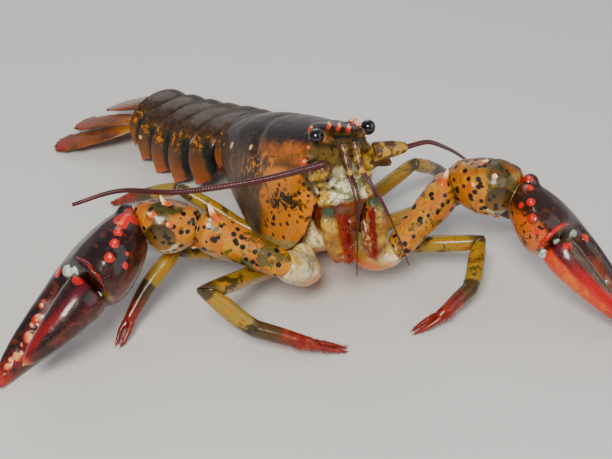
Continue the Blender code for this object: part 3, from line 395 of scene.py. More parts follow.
def carapace_skin():
    """Dark brown back, an orange band below the eye, yellow flanks with black spots, a mossy patch and a
    painted shadow on the lower rear flank.
    """
    c, s = colours(), Sheet("carapace_skin")
    high, length = s.head_along(0, 0, 1), s.head_along(0, 1, 0)
    blotch, worm = s.patterns((42, 5, 0.62, 0.8), (150, 5, 0.68, 1.8))
    level, place = high + blotch * 10 + worm * 5, length + blotch * 22 + worm * 8
    fine = s.noise(420, 3, 0.6)
    s.start(fine.step(0.5, 0.7) * 0.5 + level.step(-3, -9) * 0.3, c.back, c.tan)
    stretched = s.vectors("MULTIPLY", s.place, (1.0, 0.16, 0.5))
    lines = s.noise(700, 3, 0.6, 0.6, stretched).step(0.55, 0.68)
    s.lay(lines * 0.45, (0.24, 0.13, 0.05))
    olive = s.mix(worm.step(-0.02, 0.12), (0.12, 0.065, 0.014), (0.28, 0.15, 0.018))
    s.lay(level.step(-8, -15), olive)
    orange = level.step(-4.5, -10) * level.step(-18, -13) * place.step(50, 30)
    s.lay(orange * 0.9, s.mix(worm.step(-0.1, 0.1), (0.66, 0.26, 0.010), (0.36, 0.16, 0.018)))
    mottle = level.step(-10, -13) * level.step(-25, -20) * place.step(18, 24) * place.step(62, 52)
    s.lay(mottle * worm.step(0.02, 0.08) * 0.9, c.flank)
    s.lay(mottle * worm.step(-0.03, -0.09) * 0.85, c.moss)
    yellow = level.step(-16, -21) * (place + high * 0.25).step(35, 24)
    s.lay(yellow, s.mix(worm.step(-0.12, 0.12), c.flank, (0.80, 0.36, 0.008)))
    oval = s.near((-26.7, 17.8, 42.9)) + worm * 6
    s.lay(oval.step(6.5, 3.5) * 0.8, (0.80, 0.34, 0.008))
    branch = abs(high + 33 + worm * 34).step(3.4, 2.0)
    s.lay(branch * place.step(4, 9) * place.step(31, 25) * 0.93, (0.010, 0.026, 0.012))
    flecks = s.cells(300).step(0.40, 0.30) * (blotch * 0.6 + worm * 0.5).step(-0.08, 0.0)
    s.lay(flecks * yellow * 0.95, (0.020, 0.020, 0.008))
    # Painted shadow: the lower rear flank is darkened to dark brown.
    dark = level.step(-36, -42) * place.step(42, 52)
    s.lay(dark * 0.85, (0.055, 0.020, 0.010))
    rear = place.step(82, 90)
    s.lay(rear * 0.6, (0.10, 0.050, 0.015))
    stripe = (length + worm * 4).step(90, 91.5) * high.step(-12, -16)
    s.lay(stripe * 0.8, c.flank)
    pale = s.cells(62).step(0.14, 0.1) * high.step(-4, -8) * high.step(-24, -18)
    s.lay(pale, c.cream)
    rim = (high + worm * 4).step(-51.5, -54.5)
    s.lay(rim * 0.75, (0.46, 0.44, 0.24))
    edge = (length + worm * 6 + high * -0.22).step(10.5, 7.5) * high.step(-14, -20) * high.step(-50, -46)
    s.lay(edge * 0.75, (0.045, 0.075, 0.045))
    front = length.step(1.2, 0.5) * high.step(0, -3)
    skin = s.mix((blotch + worm).step(-0.1, 0.1), (0.30, 0.20, 0.05), (0.07, 0.065, 0.028))
    s.lay(front, s.mix((high + worm * 10).step(-17, -21), skin, (0.66, 0.60, 0.42)))
    return wet_shell(
        s, tip=(0.98, 0.66, 0.34), base=(0.80, 0.085, 0.008), pits=1100, rough=0.34, coat=0.22,
    )


def abdomen_skin():
    """Brown bands with orange blotches on their shoulders, green black at their joints and orange tips."""
    c, s = colours(), Sheet("abdomen_skin")
    band, low = s.mark("band"), s.mark("low")
    blotch, worm = s.patterns((60, 5, 0.6, 0.8), (170, 5, 0.66, 1.6))
    fine = s.noise(420, 3, 0.6)
    s.start((fine - 0.5 + low * 0.6).step(-0.05, 0.3), (0.075, 0.044, 0.015), (0.22, 0.100, 0.020))
    lower = (low + blotch * 0.5).step(0.42, 0.78)
    s.lay(lower * 0.8, (0.46, 0.165, 0.016))
    shoulder = low + blotch * 0.6
    gold = shoulder.step(0.1, 0.2) * shoulder.step(0.44, 0.32) * worm.step(0.0, 0.07)
    s.lay(gold * 0.8, (0.66, 0.33, 0.02))
    green = (band + worm * 0.25).step(0.52, 0.34) * low.step(0.12, 0.22) * worm.step(0.04, -0.02)
    s.lay(green * 0.75, (0.14, 0.17, 0.02))
    joint = (band + worm * 0.22 + blotch * 0.2).step(0.46, 0.28)
    furrow = joint * low.step(0.12, 0.26) * low.step(0.94, 0.80)
    s.lay(furrow * 0.94, (0.010, 0.018, 0.010))
    tips = (low + worm * 0.12).step(0.82, 0.93)
    s.lay(tips * 0.9, (0.66, 0.17, 0.012))
    edge = (band + worm * 0.06).step(0.93, 0.98)
    s.lay(edge * 0.55, (0.035, 0.016, 0.010))
    pale = s.cells(80).step(0.12, 0.08) * low.step(0.2, 0.28) * low.step(0.62, 0.5)
    s.lay(pale, c.cream)
    return wet_shell(s, knobs=False, pits=1000, rough=0.36, coat=0.2)


def claw_frame(sheet, name):
    """Three distances in a claw's own frame, in millimetres: across it, up from its middle, and along it."""
    wrist, tip, medial = (Vector(v) for v in CLAWS[name])
    axis = (tip - wrist).normalized()
    across = (medial - axis * medial.dot(axis)).normalized()
    up = axis.cross(across) * (1 if name == "right" else -1)
    return (sheet.along(at(wrist), v) for v in (across, up, axis))


def claw_skin(name):
    """Dark red brown over the palm, orange below it, with cream teeth, red knobs and a dark outer finger."""
    s = Sheet(f"claw_skin_{name}")
    side, high, length = claw_frame(s, name)
    blotch, worm = s.patterns((48, 5, 0.6, 0.9), (190, 5, 0.68, 1.6))
    right = name == "right"
    if right:
        first, second, bright = (0.040, 0.010, 0.008), (0.13, 0.034, 0.014), (0.20, 0.040, 0.010)
        under = (high + blotch * 8 + side * 0.1).step(-1.0, -5.0)
    else:
        first, second, bright = (0.070, 0.032, 0.010), (0.20, 0.066, 0.013), (0.70, 0.20, 0.010)
        under = (side - high * 0.8 + blotch * 6).step(10.5, 14.0)
    s.start((worm + blotch).step(-0.1, 0.22), first, second)
    s.lay((worm - blotch * 0.5).step(0.09, 0.16) * 0.6, (0.34, 0.085, 0.02))
    s.lay(under, s.mix(worm.step(0.02, 0.09), bright, (0.05, 0.022, 0.010)))
    if not right:
        s.lay(high.step(1.0, -4.0), s.mix(worm.step(0.0, 0.08), (0.66, 0.24, 0.02), (0.09, 0.05, 0.012)))
    condyle = s.near((-92.5, 9.5, 59.0) if right else (78.5, -33.5, 60.5)) + blotch * 3
    s.lay(condyle.step(6.5, 5.2), (0.60, 0.020, 0.008))
    rim = (side + blotch * 5).step(-17.0, -21.0) if right else (side + blotch * 5).step(-12.5, -16)
    s.lay(rim * 0.75, (0.085, 0.028, 0.050) if right else (0.30, 0.11, 0.02))
    patch = abs(length - (41 if right else 40)).step(9, 5) * high.step(-2.5, -4.5) * side.step(10, 13)
    s.lay(patch * 0.9, (0.55, 0.42, 0.05))
    biting = side.step(-8.0, -4.0) * length.step(44, 50) * side.step(9.5, 6)
    s.lay(biting * 0.75, (0.34, 0.028, 0.016) if right else (0.55, 0.12, 0.012))
    end = length.step(82, 92) if right else length.step(70, 78)
    s.lay(end * 0.8, (0.62, 0.07, 0.02))
    relief, rise = s.mark("relief"), s.mark("knob")
    tooth = relief.step(0.6, 1.2) * length.step(42, 48) * side.step(-14, -10)
    pale = s.mix(relief.step(1.2, 2.2), (0.60, 0.10, 0.04), (0.85, 0.52, 0.30))
    s.lay(tooth, pale)
    knobs = (relief.step(0.75, 1.3) * length.step(40, 34)).most(rise.step(0.15, 0.4) * length.step(44, 40))
    red = s.mix(rise.step(0.9, 1.2), (0.74, 0.035, 0.006), (0.95, 0.40, 0.16))
    s.lay(knobs, red)
    molar = s.mix(rise.step(0.6, 1.15), (0.60, 0.06, 0.02), (0.92, 0.60, 0.34))
    s.lay(rise.step(0.12, 0.3) * length.step(46, 48), molar)
    return wet_shell(s, knobs=False, pits=800, rough=0.22, coat=0.5)


def finger_skin(name):
    """The movable finger: a red ridge between brown flanks, cream teeth and a yellow tip."""
    c, s = colours(), Sheet(f"finger_skin_{name}")
    right = name == "right"
    side, high, length = claw_frame(s, name)
    blotch, worm = s.patterns((70, 4, 0.6, 0.8), (200, 5, 0.65, 1.3))
    first, second = (0.050, 0.012, 0.012), (0.10, 0.030, 0.018)
    if not right:
        first, second = (0.15, 0.085, 0.045), (0.24, 0.15, 0.09)
    s.start(worm.step(-0.05, 0.1), first, second)
    crest = abs(high + blotch * 3 - (4.8 if right else 2.4))
    ridge = crest.step(2.9, 1.0) if right else crest.step(3.6, 1.4)
    start = 44 if right else 34
    bright = (0.36, 0.010, 0.022) if right else (0.62, 0.020, 0.018)
    red = s.mix((length + blotch * 10).step(start, start + 20), (0.20, 0.008, 0.040), bright)
    s.lay(ridge * 0.95, red)
    if right:
        outer = (side + blotch * 4).step(15.0, 18.5) * high.step(1, -2)
        s.lay(outer * 0.7, s.mix(worm.step(-0.02, 0.08), (0.16, 0.03, 0.014), (0.30, 0.05, 0.02)))
    else:
        outer = (high + blotch * 2).step(1.2, -0.6)
        s.lay(outer * 0.95, s.mix(worm.step(-0.02, 0.1), (0.74, 0.12, 0.008), (0.80, 0.26, 0.012)))
    far = length + blotch * 8
    crown = (far + (high - 2) * 0.6).step(66, 80) if right else far.step(60, 74)
    s.lay(crown * (0.7 if right else 0.9), (0.46, 0.022, 0.014) if right else (0.60, 0.026, 0.012))
    tip = length.step(74, 80) if right else length.step(79, 85)
    s.lay(tip, (0.86, 0.34, 0.05))
    relief, rise = s.mark("relief"), s.mark("knob")
    s.lay(relief.step(0.7, 1.3) * side.step(13, 9) * length.step(34, 40), (0.85, 0.60, 0.36))
    s.lay((relief.step(0.7, 1.1) * length.step(42, 38)).most(rise.step(0.1, 0.3)), c.scarlet)
    return wet_shell(s, knobs=False, pits=900, rough=0.2, coat=0.5)


def arm_skin():
    """Orange arms with black spots, dark upper sides and tall pale-tipped spines."""
    s = Sheet("arm_skin")
    blotch, worm = s.patterns((65, 5, 0.6, 1.0), (150, 5, 0.65, 1.5))
    high = s.above_floor()
    level = high + blotch * 26 + worm * 8
    s.start((worm + blotch * 0.4).step(-0.08, 0.1), (0.62, 0.25, 0.008), (0.68, 0.40, 0.02))
    s.lay(level.step(56, 68) * 0.9, s.mix(worm.step(0, 0.1), (0.055, 0.040, 0.014), (0.17, 0.10, 0.016)))
    moss = (blotch + worm * 0.4).step(0.03, 0.10)
    s.lay(moss * 0.8, (0.11, 0.115, 0.025))
    inner = s.near((-52, -14, 37)).step(15, 9) * high.step(44, 38)
    s.lay(inner * worm.step(-0.1, 0.0) * 0.8, (0.16, 0.20, 0.09))
    for place in ((68.1, -37.5, 50.7), (-86.5, -2.0, 50.0)):
        apart = s.near(place) + worm * 2
        s.lay(apart.step(9.5, 8.5) * apart.step(6.4, 7.2) * high.step(48, 46), (0.62, 0.60, 0.34))
        s.lay(
            apart.step(7.4, 6.6),
            s.mix((high + worm * 4).step(44, 56), (0.38, 0.20, 0.025), (0.13, 0.085, 0.02)),
        )
    spots = s.cells(265).step(0.38, 0.30) * (blotch - worm * 0.3).step(0.14, 0.05)
    s.lay(spots * 0.97, (0.012, 0.010, 0.006))
    return wet_shell(s, tip=(0.98, 0.84, 0.60), base=(0.78, 0.20, 0.012), pits=900, rough=0.26, coat=0.4)


def leg_skin():
    """Olive yellow legs with orange lower sides and dark mottling, turning dark red at their tips."""
    c, s = colours(), Sheet("leg_skin")
    blotch, worm = s.patterns((75, 4, 0.6, 0.9), (210, 5, 0.66, 1.5))
    s.start((worm + blotch * 0.4).step(-0.08, 0.1), c.olive, (0.56, 0.33, 0.03))
    s.lay((blotch - worm * 0.4).step(0.06, 0.14) * 0.85, (0.085, 0.070, 0.018))
    s.lay((worm - blotch * 0.3).step(0.10, 0.15) * 0.7, (0.58, 0.15, 0.015))
    share = s.mark("share")
    band = (share + worm * 0.05).step(0.90, 0.98) + (share + worm * 0.05).step(0.09, 0.02)
    s.lay(band * 0.8, (0.07, 0.055, 0.03))
    tip = s.mark("tip") + worm * 0.5 + blotch * 0.4
    s.lay(tip.step(0.12, 0.45) * 0.9, s.mix(worm.step(0.0, 0.1), (0.34, 0.022, 0.010), (0.50, 0.10, 0.02)))
    height = s.noise(400, 4) * 0.7 + s.noise(120, 3) * 1.2
    return s.finish(s.noise(160, 2) * 0.2 + 0.22, height, 0.0003, 0.4)


def tail_skin():
    """Red brown tail blades with fine ribs that run out to an orange edge."""
    c, s = colours(), Sheet("tail_skin")
    share, side = s.mark("share"), s.mark("side")
    blotch = s.noise(90, 4, 0.6, 1.0)
    s.start(blotch.step(0.42, 0.66), (0.44, 0.16, 0.022), (0.20, 0.085, 0.022))
    s.lay((share + (blotch - 0.5) * 0.4).step(0.3, 0.1) * 0.8, (0.66, 0.34, 0.03))
    edge = (share + (blotch - 0.5) * 0.12).step(0.8, 0.94)
    s.lay(edge, (0.52, 0.075, 0.014))
    s.lay((side * side).step(0.62, 0.95) * 0.8, (0.55, 0.13, 0.02))
    ribs = (side * 34).maths("SINE")
    s.lay(ribs.step(0.4, 1.0) * 0.35, c.back)
    height = ribs * 0.5 + s.noise(300, 4) * 0.8
    return s.finish(0.3, height, 0.0003, 0.4)


def root_skin():
    """White and yellow limb roots with orange undersides and grey green seams."""
    s = Sheet("root_skin")
    blotch, worm = s.patterns((75, 4, 0.6, 0.9), (200, 5, 0.65, 1.4))
    high = s.above_floor()
    s.start((blotch + worm * 0.4).step(-0.06, 0.08), (0.88, 0.80, 0.56), (0.70, 0.50, 0.16))
    s.lay((worm - blotch * 0.6).step(0.05, 0.13) * 0.75, (0.30, 0.32, 0.16))
    s.lay((high + blotch * 12 + worm * 10).step(26, 19), (0.78, 0.30, 0.02))
    s.lay((worm + blotch * 0.3).step(-0.10, -0.16) * 0.6, (0.70, 0.34, 0.05))
    relief = s.mark("relief")
    s.lay(relief.step(-0.1, -0.6) * 0.7, (0.16, 0.19, 0.13))
    height = s.noise(350, 4) * 0.7 + s.noise(100, 3)
    return s.finish(0.28, height, 0.0003, 0.4)


def face_skin():
    """A white plate above the mouth, dark red jaws below it and olive feeler sockets above."""
    s = Sheet("face_skin")
    blotch, worm = s.patterns((90, 4, 0.6, 0.9), (230, 5, 0.65, 1.6))
    high = s.head_along(0, 0, 1) + worm * 6
    s.start((worm + blotch * 0.5).step(-0.08, 0.08), (0.24, 0.035, 0.012), (0.40, 0.16, 0.03))
    plate = s.mix((worm + blotch * 0.8).step(-0.02, 0.08), (0.86, 0.80, 0.62), (0.36, 0.36, 0.20))
    away = abs(s.head_along(1, 0, 0)) + worm * 5
    plate = s.mix(
        away.step(7.5, 10.0), plate, s.mix(worm.step(-0.06, 0.04), (0.74, 0.50, 0.12), (0.30, 0.24, 0.08)),
    )
    s.lay(high.step(-35.5, -33.5), plate)
    olive = s.mix(worm.step(-0.05, 0.08), (0.34, 0.27, 0.07), (0.09, 0.09, 0.04))
    s.lay(high.step(-21.5, -19), olive)
    relief = s.mark("relief")
    s.lay(relief.step(-0.08, -0.5) * 0.85, (0.07, 0.07, 0.04))
    height = s.noise(350, 4) * 0.8 + s.noise(110, 3) * 1.0
    return s.finish(0.28, height, 0.0003, 0.4)


def mouth_skin():
    """Olive yellow mouth legs with orange flecks and blue green seams."""
    s = Sheet("mouth_skin")
    blotch, worm = s.patterns((80, 4, 0.6, 0.9), (330, 4, 0.65, 1.0))
    high = s.head_along(0, 0, 1) + worm * 4
    s.start((blotch + worm * 0.4).step(-0.08, 0.1), (0.60, 0.42, 0.07), (0.40, 0.20, 0.04))
    inner = abs(s.head_along(1, 0, 0)) + worm * 3
    s.lay(
        inner.step(8.5, 6.5) * 0.85, s.mix(worm.step(-0.05, 0.08), (0.28, 0.07, 0.02), (0.62, 0.50, 0.26)),
    )
    s.lay((high + blotch * 8).step(-55, -60), (0.38, 0.09, 0.02))
    s.lay((high + blotch * 8).step(-42, -37), (0.13, 0.17, 0.11))
    s.lay(worm.step(0.08, 0.14) * 0.7, (0.20, 0.13, 0.03))
    return s.finish(0.3, s.noise(400, 4), 0.00025, 0.4)


def plain_skin(name, first, second, scale, rough=0.3, coat=0.4):
    """Two colours that run into each other, for the small soft pieces."""
    s = Sheet(name)
    s.start(s.noise(scale, 4, 0.6, 0.8).step(0.4, 0.62), first, second)
    return s.finish(rough, s.noise(scale * 3, 4), coat=coat)


def feeler_root_skin():
    """Yellow and brown feeler roots with a red-tipped spine."""
    s = Sheet("feeler_root_skin")
    s.start(s.noise(130, 4, 0.6, 1.0).step(0.42, 0.58), (0.62, 0.42, 0.08), (0.16, 0.085, 0.03))
    return wet_shell(s, pits=1100, rough=0.24)


def feeler_skin():
    """Dull red feelers, paler on the crown of each ring."""
    c, s = colours(), Sheet("feeler_skin")
    ring = s.mark("ring")
    s.start(ring.step(0.2, 0.95), (0.10, 0.020, 0.020), c.feeler)
    s.lay(s.noise(60, 3).step(0.5, 0.66) * 0.5, (0.30, 0.07, 0.045))
    return s.finish(0.32, s.noise(500, 3), 0.0001, 0.4)


def eye_skin():
    """A black eye with a faint honeycomb and a wet gloss."""
    s = Sheet("eye_skin")
    comb = s.cells(3200, 0.25).step(0.2, 0.5) * 0.15
    s.start(s.noise(180, 2).step(0.5, 0.7) * 0.5, (0.010, 0.006, 0.008), (0.07, 0.018, 0.014))
    return s.finish(0.16, comb, 0.00005, 1.0)


def deselect():
    if bpy.context.object and bpy.context.object.mode != "OBJECT":
        bpy.ops.object.mode_set(mode="OBJECT")
    bpy.ops.object.select_all(action="DESELECT")


def choose(obj):
    """Makes one object the only one selected, and active."""
    deselect()
    obj.select_set(True)
    bpy.context.view_layer.objects.active = obj


def apply_all(obj):
    choose(obj)
    for modifier in list(obj.modifiers):
        bpy.ops.object.modifier_apply(modifier=modifier.name)


def joined(pieces):
    """Joins pieces into the first of them."""
    deselect()
    for piece in pieces:
        piece.select_set(True)
    bpy.context.view_layer.objects.active = pieces[0]
    bpy.ops.object.join()
    return pieces[0]


def ball(place, radius):
    """A plain ball with its radius in millimetres, for the soft pieces."""
    deselect()
    bpy.ops.mesh.primitive_ico_sphere_add(subdivisions=3, radius=radius * MM, location=place)
    bpy.ops.object.transform_apply(location=True, rotation=True, scale=True)
    return bpy.context.object


def box_middle(node):
    low, high = (Vector(v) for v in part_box(node))
    return (low + high) / 2


def fit_out(obj, material, slot, *nodes, angle=60):
    """Gives a finished piece its material, its body and the solids that it stands for. The slot is not used.
    """
    choose(obj)
    bpy.ops.object.shade_smooth_by_angle(angle=math.radians(angle))
    obj.data.materials.clear()
    obj.data.materials.append(material)
    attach(obj, "root")
    if nodes:
        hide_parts(*nodes)


def skin_once(make):
    """The material of a skin's function, made the first time that it is asked for."""
    return bpy.data.materials.get(make.__name__) or make()


def knob(place, way, radius, height, sharp):
    """A tapered spine or a round tubercle that stands on a surface, as a loose piece for a fine copy."""
    deselect()
    if sharp:
        bpy.ops.mesh.primitive_cone_add(
            vertices=14, radius1=radius, radius2=radius * 0.1, depth=height * 1.4,
        )
        lift = height * 0.3
    else:
        bpy.ops.mesh.primitive_uv_sphere_add(segments=14, ring_count=10, radius=radius)
        lift = height - radius
    made = bpy.context.object
    turned = way.to_track_quat("Z", "Y").to_matrix().to_4x4()
    turned.translation = place + way * lift
    made.data.transform(turned)
    made.matrix_world = Matrix()
    return made


def spines_along(start, end, rows):
    """The spines of a limb. Each row is (share of the limb, turn from the top in radians, reach from the
    axis, length, radius, lean towards the limb's end), sizes in millimetres."""
    axis = (end - start).normalized()
    across = (Vector((0, 0, 1)) - axis * axis.z).normalized()
    up = axis.cross(across)
    made = []
    for share, turn, reach, length, radius, lean in rows:
        out = across * math.cos(turn) + up * math.sin(turn)
        place = start.lerp(end, share) + out * ((reach - 0.7) * MM)
        made.append(
            (place, (out + axis * lean).normalized(), radius * 1.02 * MM, (length + 0.7) * MM, True)
        )
    return made


def knobs_on(node, start, end, reference, rows):
    """Round knobs on a solid. Each row is (distance along the axis, turn round it from the reference in
    degrees, radius, height), in millimetres, and finds the solid's surface from outside."""
    axis = (end - start).normalized()
    across = (reference - axis * reference.dot(axis)).normalized()
    up = axis.cross(across)
    made = []
    for along, turn, radius, height in rows:
        out = across * math.cos(math.radians(turn)) + up * math.sin(math.radians(turn))
        foot = start + axis * (along * MM)
        hit, place, normal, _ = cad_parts[node].ray_cast(foot + out * 0.06, -out)
        if not hit:
            raise RuntimeError(f"{node} has no surface {along} mm along its axis at {turn} degrees")
        made.append((place, (out + normal.normalized()).normalized(), radius * MM, height * MM, False))
    return made


def fine_copy(node, grain, passes, keep, knobs=()):
    """A copy of a solid with its seams merged and its knobs added, remade in a grain that is a share of the
    panel's. The form is softened in that many passes, and what stands less than keep millimetres off it is
    evened out. The points are marked with their relief in millimetres and their share of a knob's height."""
    obj = bpy.data.objects.new(f"{node}_surface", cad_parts[node].data.copy())
    bpy.context.scene.collection.objects.link(obj)
    choose(obj)
    bpy.ops.object.mode_set(mode="EDIT")
    bpy.ops.mesh.select_all(action="SELECT")
    bpy.ops.mesh.remove_doubles(threshold=0.00001)
    bpy.ops.mesh.normals_make_consistent(inside=False)
    bpy.ops.object.mode_set(mode="OBJECT")
    extra = [knob(*k) for k in knobs]
    if extra:
        joined([obj, *extra])
    remake = obj.modifiers.new("grain", "REMESH")
    remake.mode = "VOXEL"
    remake.voxel_size = sizes().grain * grain * 1.0
    soft = obj.modifiers.new("soften", "SMOOTH")
    soft.factor, soft.iterations = 0.5, sizes().soften
    apply_all(obj)
    soft = obj.modifiers.new("even", "SMOOTH")
    soft.factor, soft.iterations = 0.5, max(4, passes // (1))
    evened = obj.evaluated_get(bpy.context.evaluated_depsgraph_get()).data
    form, facing = points_of(evened), points_of(evened, "normal")
    obj.modifiers.remove(soft)
    off = points_of(obj.data) - form
    proud = (off * facing).sum(1)
    plain = np.linalg.norm(off, axis=1) < keep * 2 * MM
    shrunk = np.median(proud[plain]) if plain.any() else 0.0
    proud = (proud - shrunk) / MM
    mark(obj, "relief", proud)
    share = np.clip((np.abs(proud) - keep) / keep, 0, 1)[:, None]
    share = share * share * (3 - 2 * share)
    places = form + facing * shrunk + (off - facing * shrunk) * share
    places[:, 2] = np.maximum(places[:, 2], 0.0)
    obj.data.vertices.foreach_set("co", places.ravel())
    places = points_of(obj.data)
    rise = np.zeros(len(places))
    for place, way, radius, height, sharp in knobs:
        away = places - np.array(place)
        along = away @ np.array(way)
        aside = np.linalg.norm(away - along[:, None] * np.array(way), axis=1)
        taper = 1.1 - (0.7 * np.clip(along / height, 0, 1) if sharp else 0)
        inside = (aside < radius * taper) & (along > -0.12 * height) & (along < 1.4 * height)
        rise = np.maximum(rise, np.where(inside, np.clip(along / height + 0.3, 0.05, 1.2), 0))
    mark(obj, "knob", rise)
    obj.data.update()
    return obj


def blend_lumps(obj, passes):
    """Runs the lumps of a soft piece into one skin."""
    remake = obj.modifiers.new("grain", "REMESH")
    remake.mode, remake.voxel_size = "VOXEL", sizes().grain * 0.5
    soft = obj.modifiers.new("soften", "SMOOTH")
    soft.factor, soft.iterations = 0.5, passes
    apply_all(obj)


def points_of(mesh, kind="co"):
    """The places of a mesh's points, or the ways they face."""
    values = np.empty(len(mesh.vertices) * 3)
    mesh.vertices.foreach_get(kind, values)
    return values.reshape(-1, 3)


def mark(obj, name, values):
    """Gives each point its own value, or all of them the same one, for the materials to read."""
    held = obj.data.attributes.new(name, "FLOAT", "POINT")
    held.data.foreach_set("value", np.full(len(obj.data.vertices), values, np.float32))


def mark_line(obj, name, start, end):
    """Marks each point's share of the way from start to end."""
    axis = np.array(end - start)
    mark(obj, name, np.clip((points_of(obj.data) - np.array(start)) @ axis / (axis @ axis), 0, 1))


def smooth_path(points, count):
    """A curve through all the points, read at count evenly shared places."""
    ends = [points[0] * 2 - points[1], *points, points[-1] * 2 - points[-2]]
    found = []
    for k in range(count):
        place = k / (count - 1) * (len(points) - 1)
        i = min(int(place), len(points) - 2)
        t = place - i
        a, b, c, d = ends[i : i + 4]
        square, cube = 2 * a - 5 * b + 4 * c - d, 3 * b - a - 3 * c + d
        found.append(0.5 * (2 * b + (c - a) * t + square * t * t + cube * t**3))
    return found


def strands(name, paths, radius, sides):
    """A mesh of round strands. Each path is a list of (place, share of the radius)."""
    curve = bpy.data.curves.new(name, "CURVE")
    curve.dimensions = "3D"
    curve.bevel_depth = radius
    curve.bevel_resolution = sides
    curve.use_fill_caps = True
    for path in paths:
        spline = curve.splines.new("POLY")
        spline.points.add(len(path) - 1)
        for point, (place, share) in zip(spline.points, path):
            point.co = (*place, 1)
            point.radius = share
    obj = bpy.data.objects.new(name, curve)
    bpy.context.scene.collection.objects.link(obj)
    choose(obj)
    bpy.ops.object.convert(target="MESH")
    return bpy.context.object


def in_reach(spot):
    """A point moved, where it must, to just inside the box of the whole animal."""
    low, high = CAD_BOX
    return Vector([min(max(v, a + 0.2 * MM), b - 0.2 * MM) for v, a, b in zip(spot, low, high)])


def bristles(name, roots, length, lean, seed, droop=0.25, thick=1.0):
    """A tuft of fine bent hairs. Roots are (place, direction) pairs."""
    chance = np.random.default_rng(seed)
    paths = []
    for place, direction in roots:
        way = (direction + Vector(chance.normal(0, lean, 3))).normalized()
        reach = length * chance.uniform(0.6, 1.0)
        path = []
        for share, size in ((0, 1.0), (0.4, 0.85), (0.75, 0.55), (1.0, 0.15)):
            spot = place + way * (reach * share) + Vector((0, 0, -droop * reach * share**2))
            path.append((in_reach(spot), size))
        paths.append(path)
    return strands(name, paths, sizes().bristle * thick, 0)


class LOBSTER_OT_shell(bpy.types.Operator):
    """Dresses the carapace with its rostrum and spines"""

    bl_idname = "lobster.shell"
    bl_label = "Carapace"

    def execute(self, context):
        obj = fine_copy("carapace", 1.05, 120, 0.45, self.spines())
        fit_out(obj, skin_once(carapace_skin), "shell_brown", "carapace")
        return {"FINISHED"}

    def spines(self):
        """The rostrum's three pairs of spines and those behind each eye and feeler: root, tip and radius."""
        made = []
        for side in (-1, 1):
            for root, tip, radius in (
                ((5.0, -2.4, -0.2), (6.4, -6.9, 4.3), 1.75),
                ((3.6, -9.4, -0.4), (5.0, -13.9, 3.9), 1.7),
                ((2.2, -15.9, -0.8), (3.4, -20.4, 3.4), 1.6),
                ((10.8, 5.0, -1.2), (11.7, -1.6, 3.3), 1.7),
                ((16.6, 4.0, -14.4), (18.6, -4.6, -12.4), 1.8),
                ((13.6, 4.0, -8.2), (15.4, -1.4, -7.2), 1.0),
            ):
                foot, end = (in_head(side * x, y, z) for x, y, z in (root, tip))
                made.append(
                    (foot, (end - foot).normalized(), radius * MM, (end - foot).length * 0.9, True)
                )
        return made


class LOBSTER_OT_underside(bpy.types.Operator):
    """Dresses the thorax's underside and the face below the rostrum"""

    bl_idname = "lobster.underside"
    bl_label = "Underside and face"

    def execute(self, context):
        for node, skin in (("thorax_underside", skin_once(root_skin)), ("face", skin_once(face_skin))):
            fit_out(fine_copy(node, 0.8, 60, 0.4), skin, "underside_cream", node)
        self.mouth_plate()
        return {"FINISHED"}

    def mouth_plate(self):
        """The folded pale plate above the mouth and the gland knobs beside it, in one skin. A row is a
        lump's place in the head's frame and half its width, depth and height, in millimetres."""
        rows = [
            (0, -2.2, -27.0, 5.6, 2.4, 2.2),
            (0, -2.6, -23.6, 2.6, 2.4, 2.8),
            (0, -4.9, -31.4, 6.6, 2.0, 1.8),
        ]
        for side in (-1, 1):
            rows += [
                (side * 6.4, -1.6, -24.6, 3.0, 2.6, 2.4),
                (side * 9.4, -1.6, -28.6, 3.2, 2.8, 2.6),
                (side * 11.8, -0.8, -24.0, 3.0, 2.8, 2.6),
                (side * 11.4, -1.2, -33.2, 2.6, 2.6, 3.2),
                (side * 7.6, -4.4, -34.2, 2.4, 1.8, 1.8),
            ]
        lumps = []
        for x, y, z, wide, deep, tall in rows:
            deselect()
            bpy.ops.mesh.primitive_uv_sphere_add(segments=20, ring_count=14, radius=1)
            lump = bpy.context.object
            size = Matrix.Diagonal((wide * MM, deep * MM, tall * MM, 1))
            lump.data.transform(HEAD @ Matrix.Translation(Vector((x, y, z)) * MM) @ size)
            lumps.append(lump)
        plate = joined(lumps)
        plate.name = "mouth_plate"
        blend_lumps(plate, 10)
        mark(plate, "relief", 0)
        fit_out(plate, skin_once(face_skin), "underside_cream")


class LOBSTER_OT_abdomen(bpy.types.Operator):
    """Dresses the six rings of the abdomen"""

    bl_idname = "lobster.abdomen"
    bl_label = "Abdomen"

    def execute(self, context):
        centres = [box_middle(f"abdomen_{k + 1}") for k in range(6)]
        for k in range(6):
            node = f"abdomen_{k + 1}"
            obj = fine_copy(node, 0.9, 60, 0.4)
            ahead = centres[min(k + 1, 5)] - centres[max(k - 1, 0)]
            ahead = Vector((ahead.x, ahead.y, ahead.z * 0.6)).normalized()
            places = points_of(obj.data)
            run = places @ np.array(ahead)
            start, end = np.percentile(run, (3, 99))
            mark(obj, "band", np.clip((run - start) / (end - start), 0, 1))
            drop = places[:, 2].max() - places[:, 2]
            mark(obj, "low", np.clip(drop / drop.max(), 0, 1))
            fit_out(obj, skin_once(abdomen_skin), "shell_brown", node)
        return {"FINISHED"}


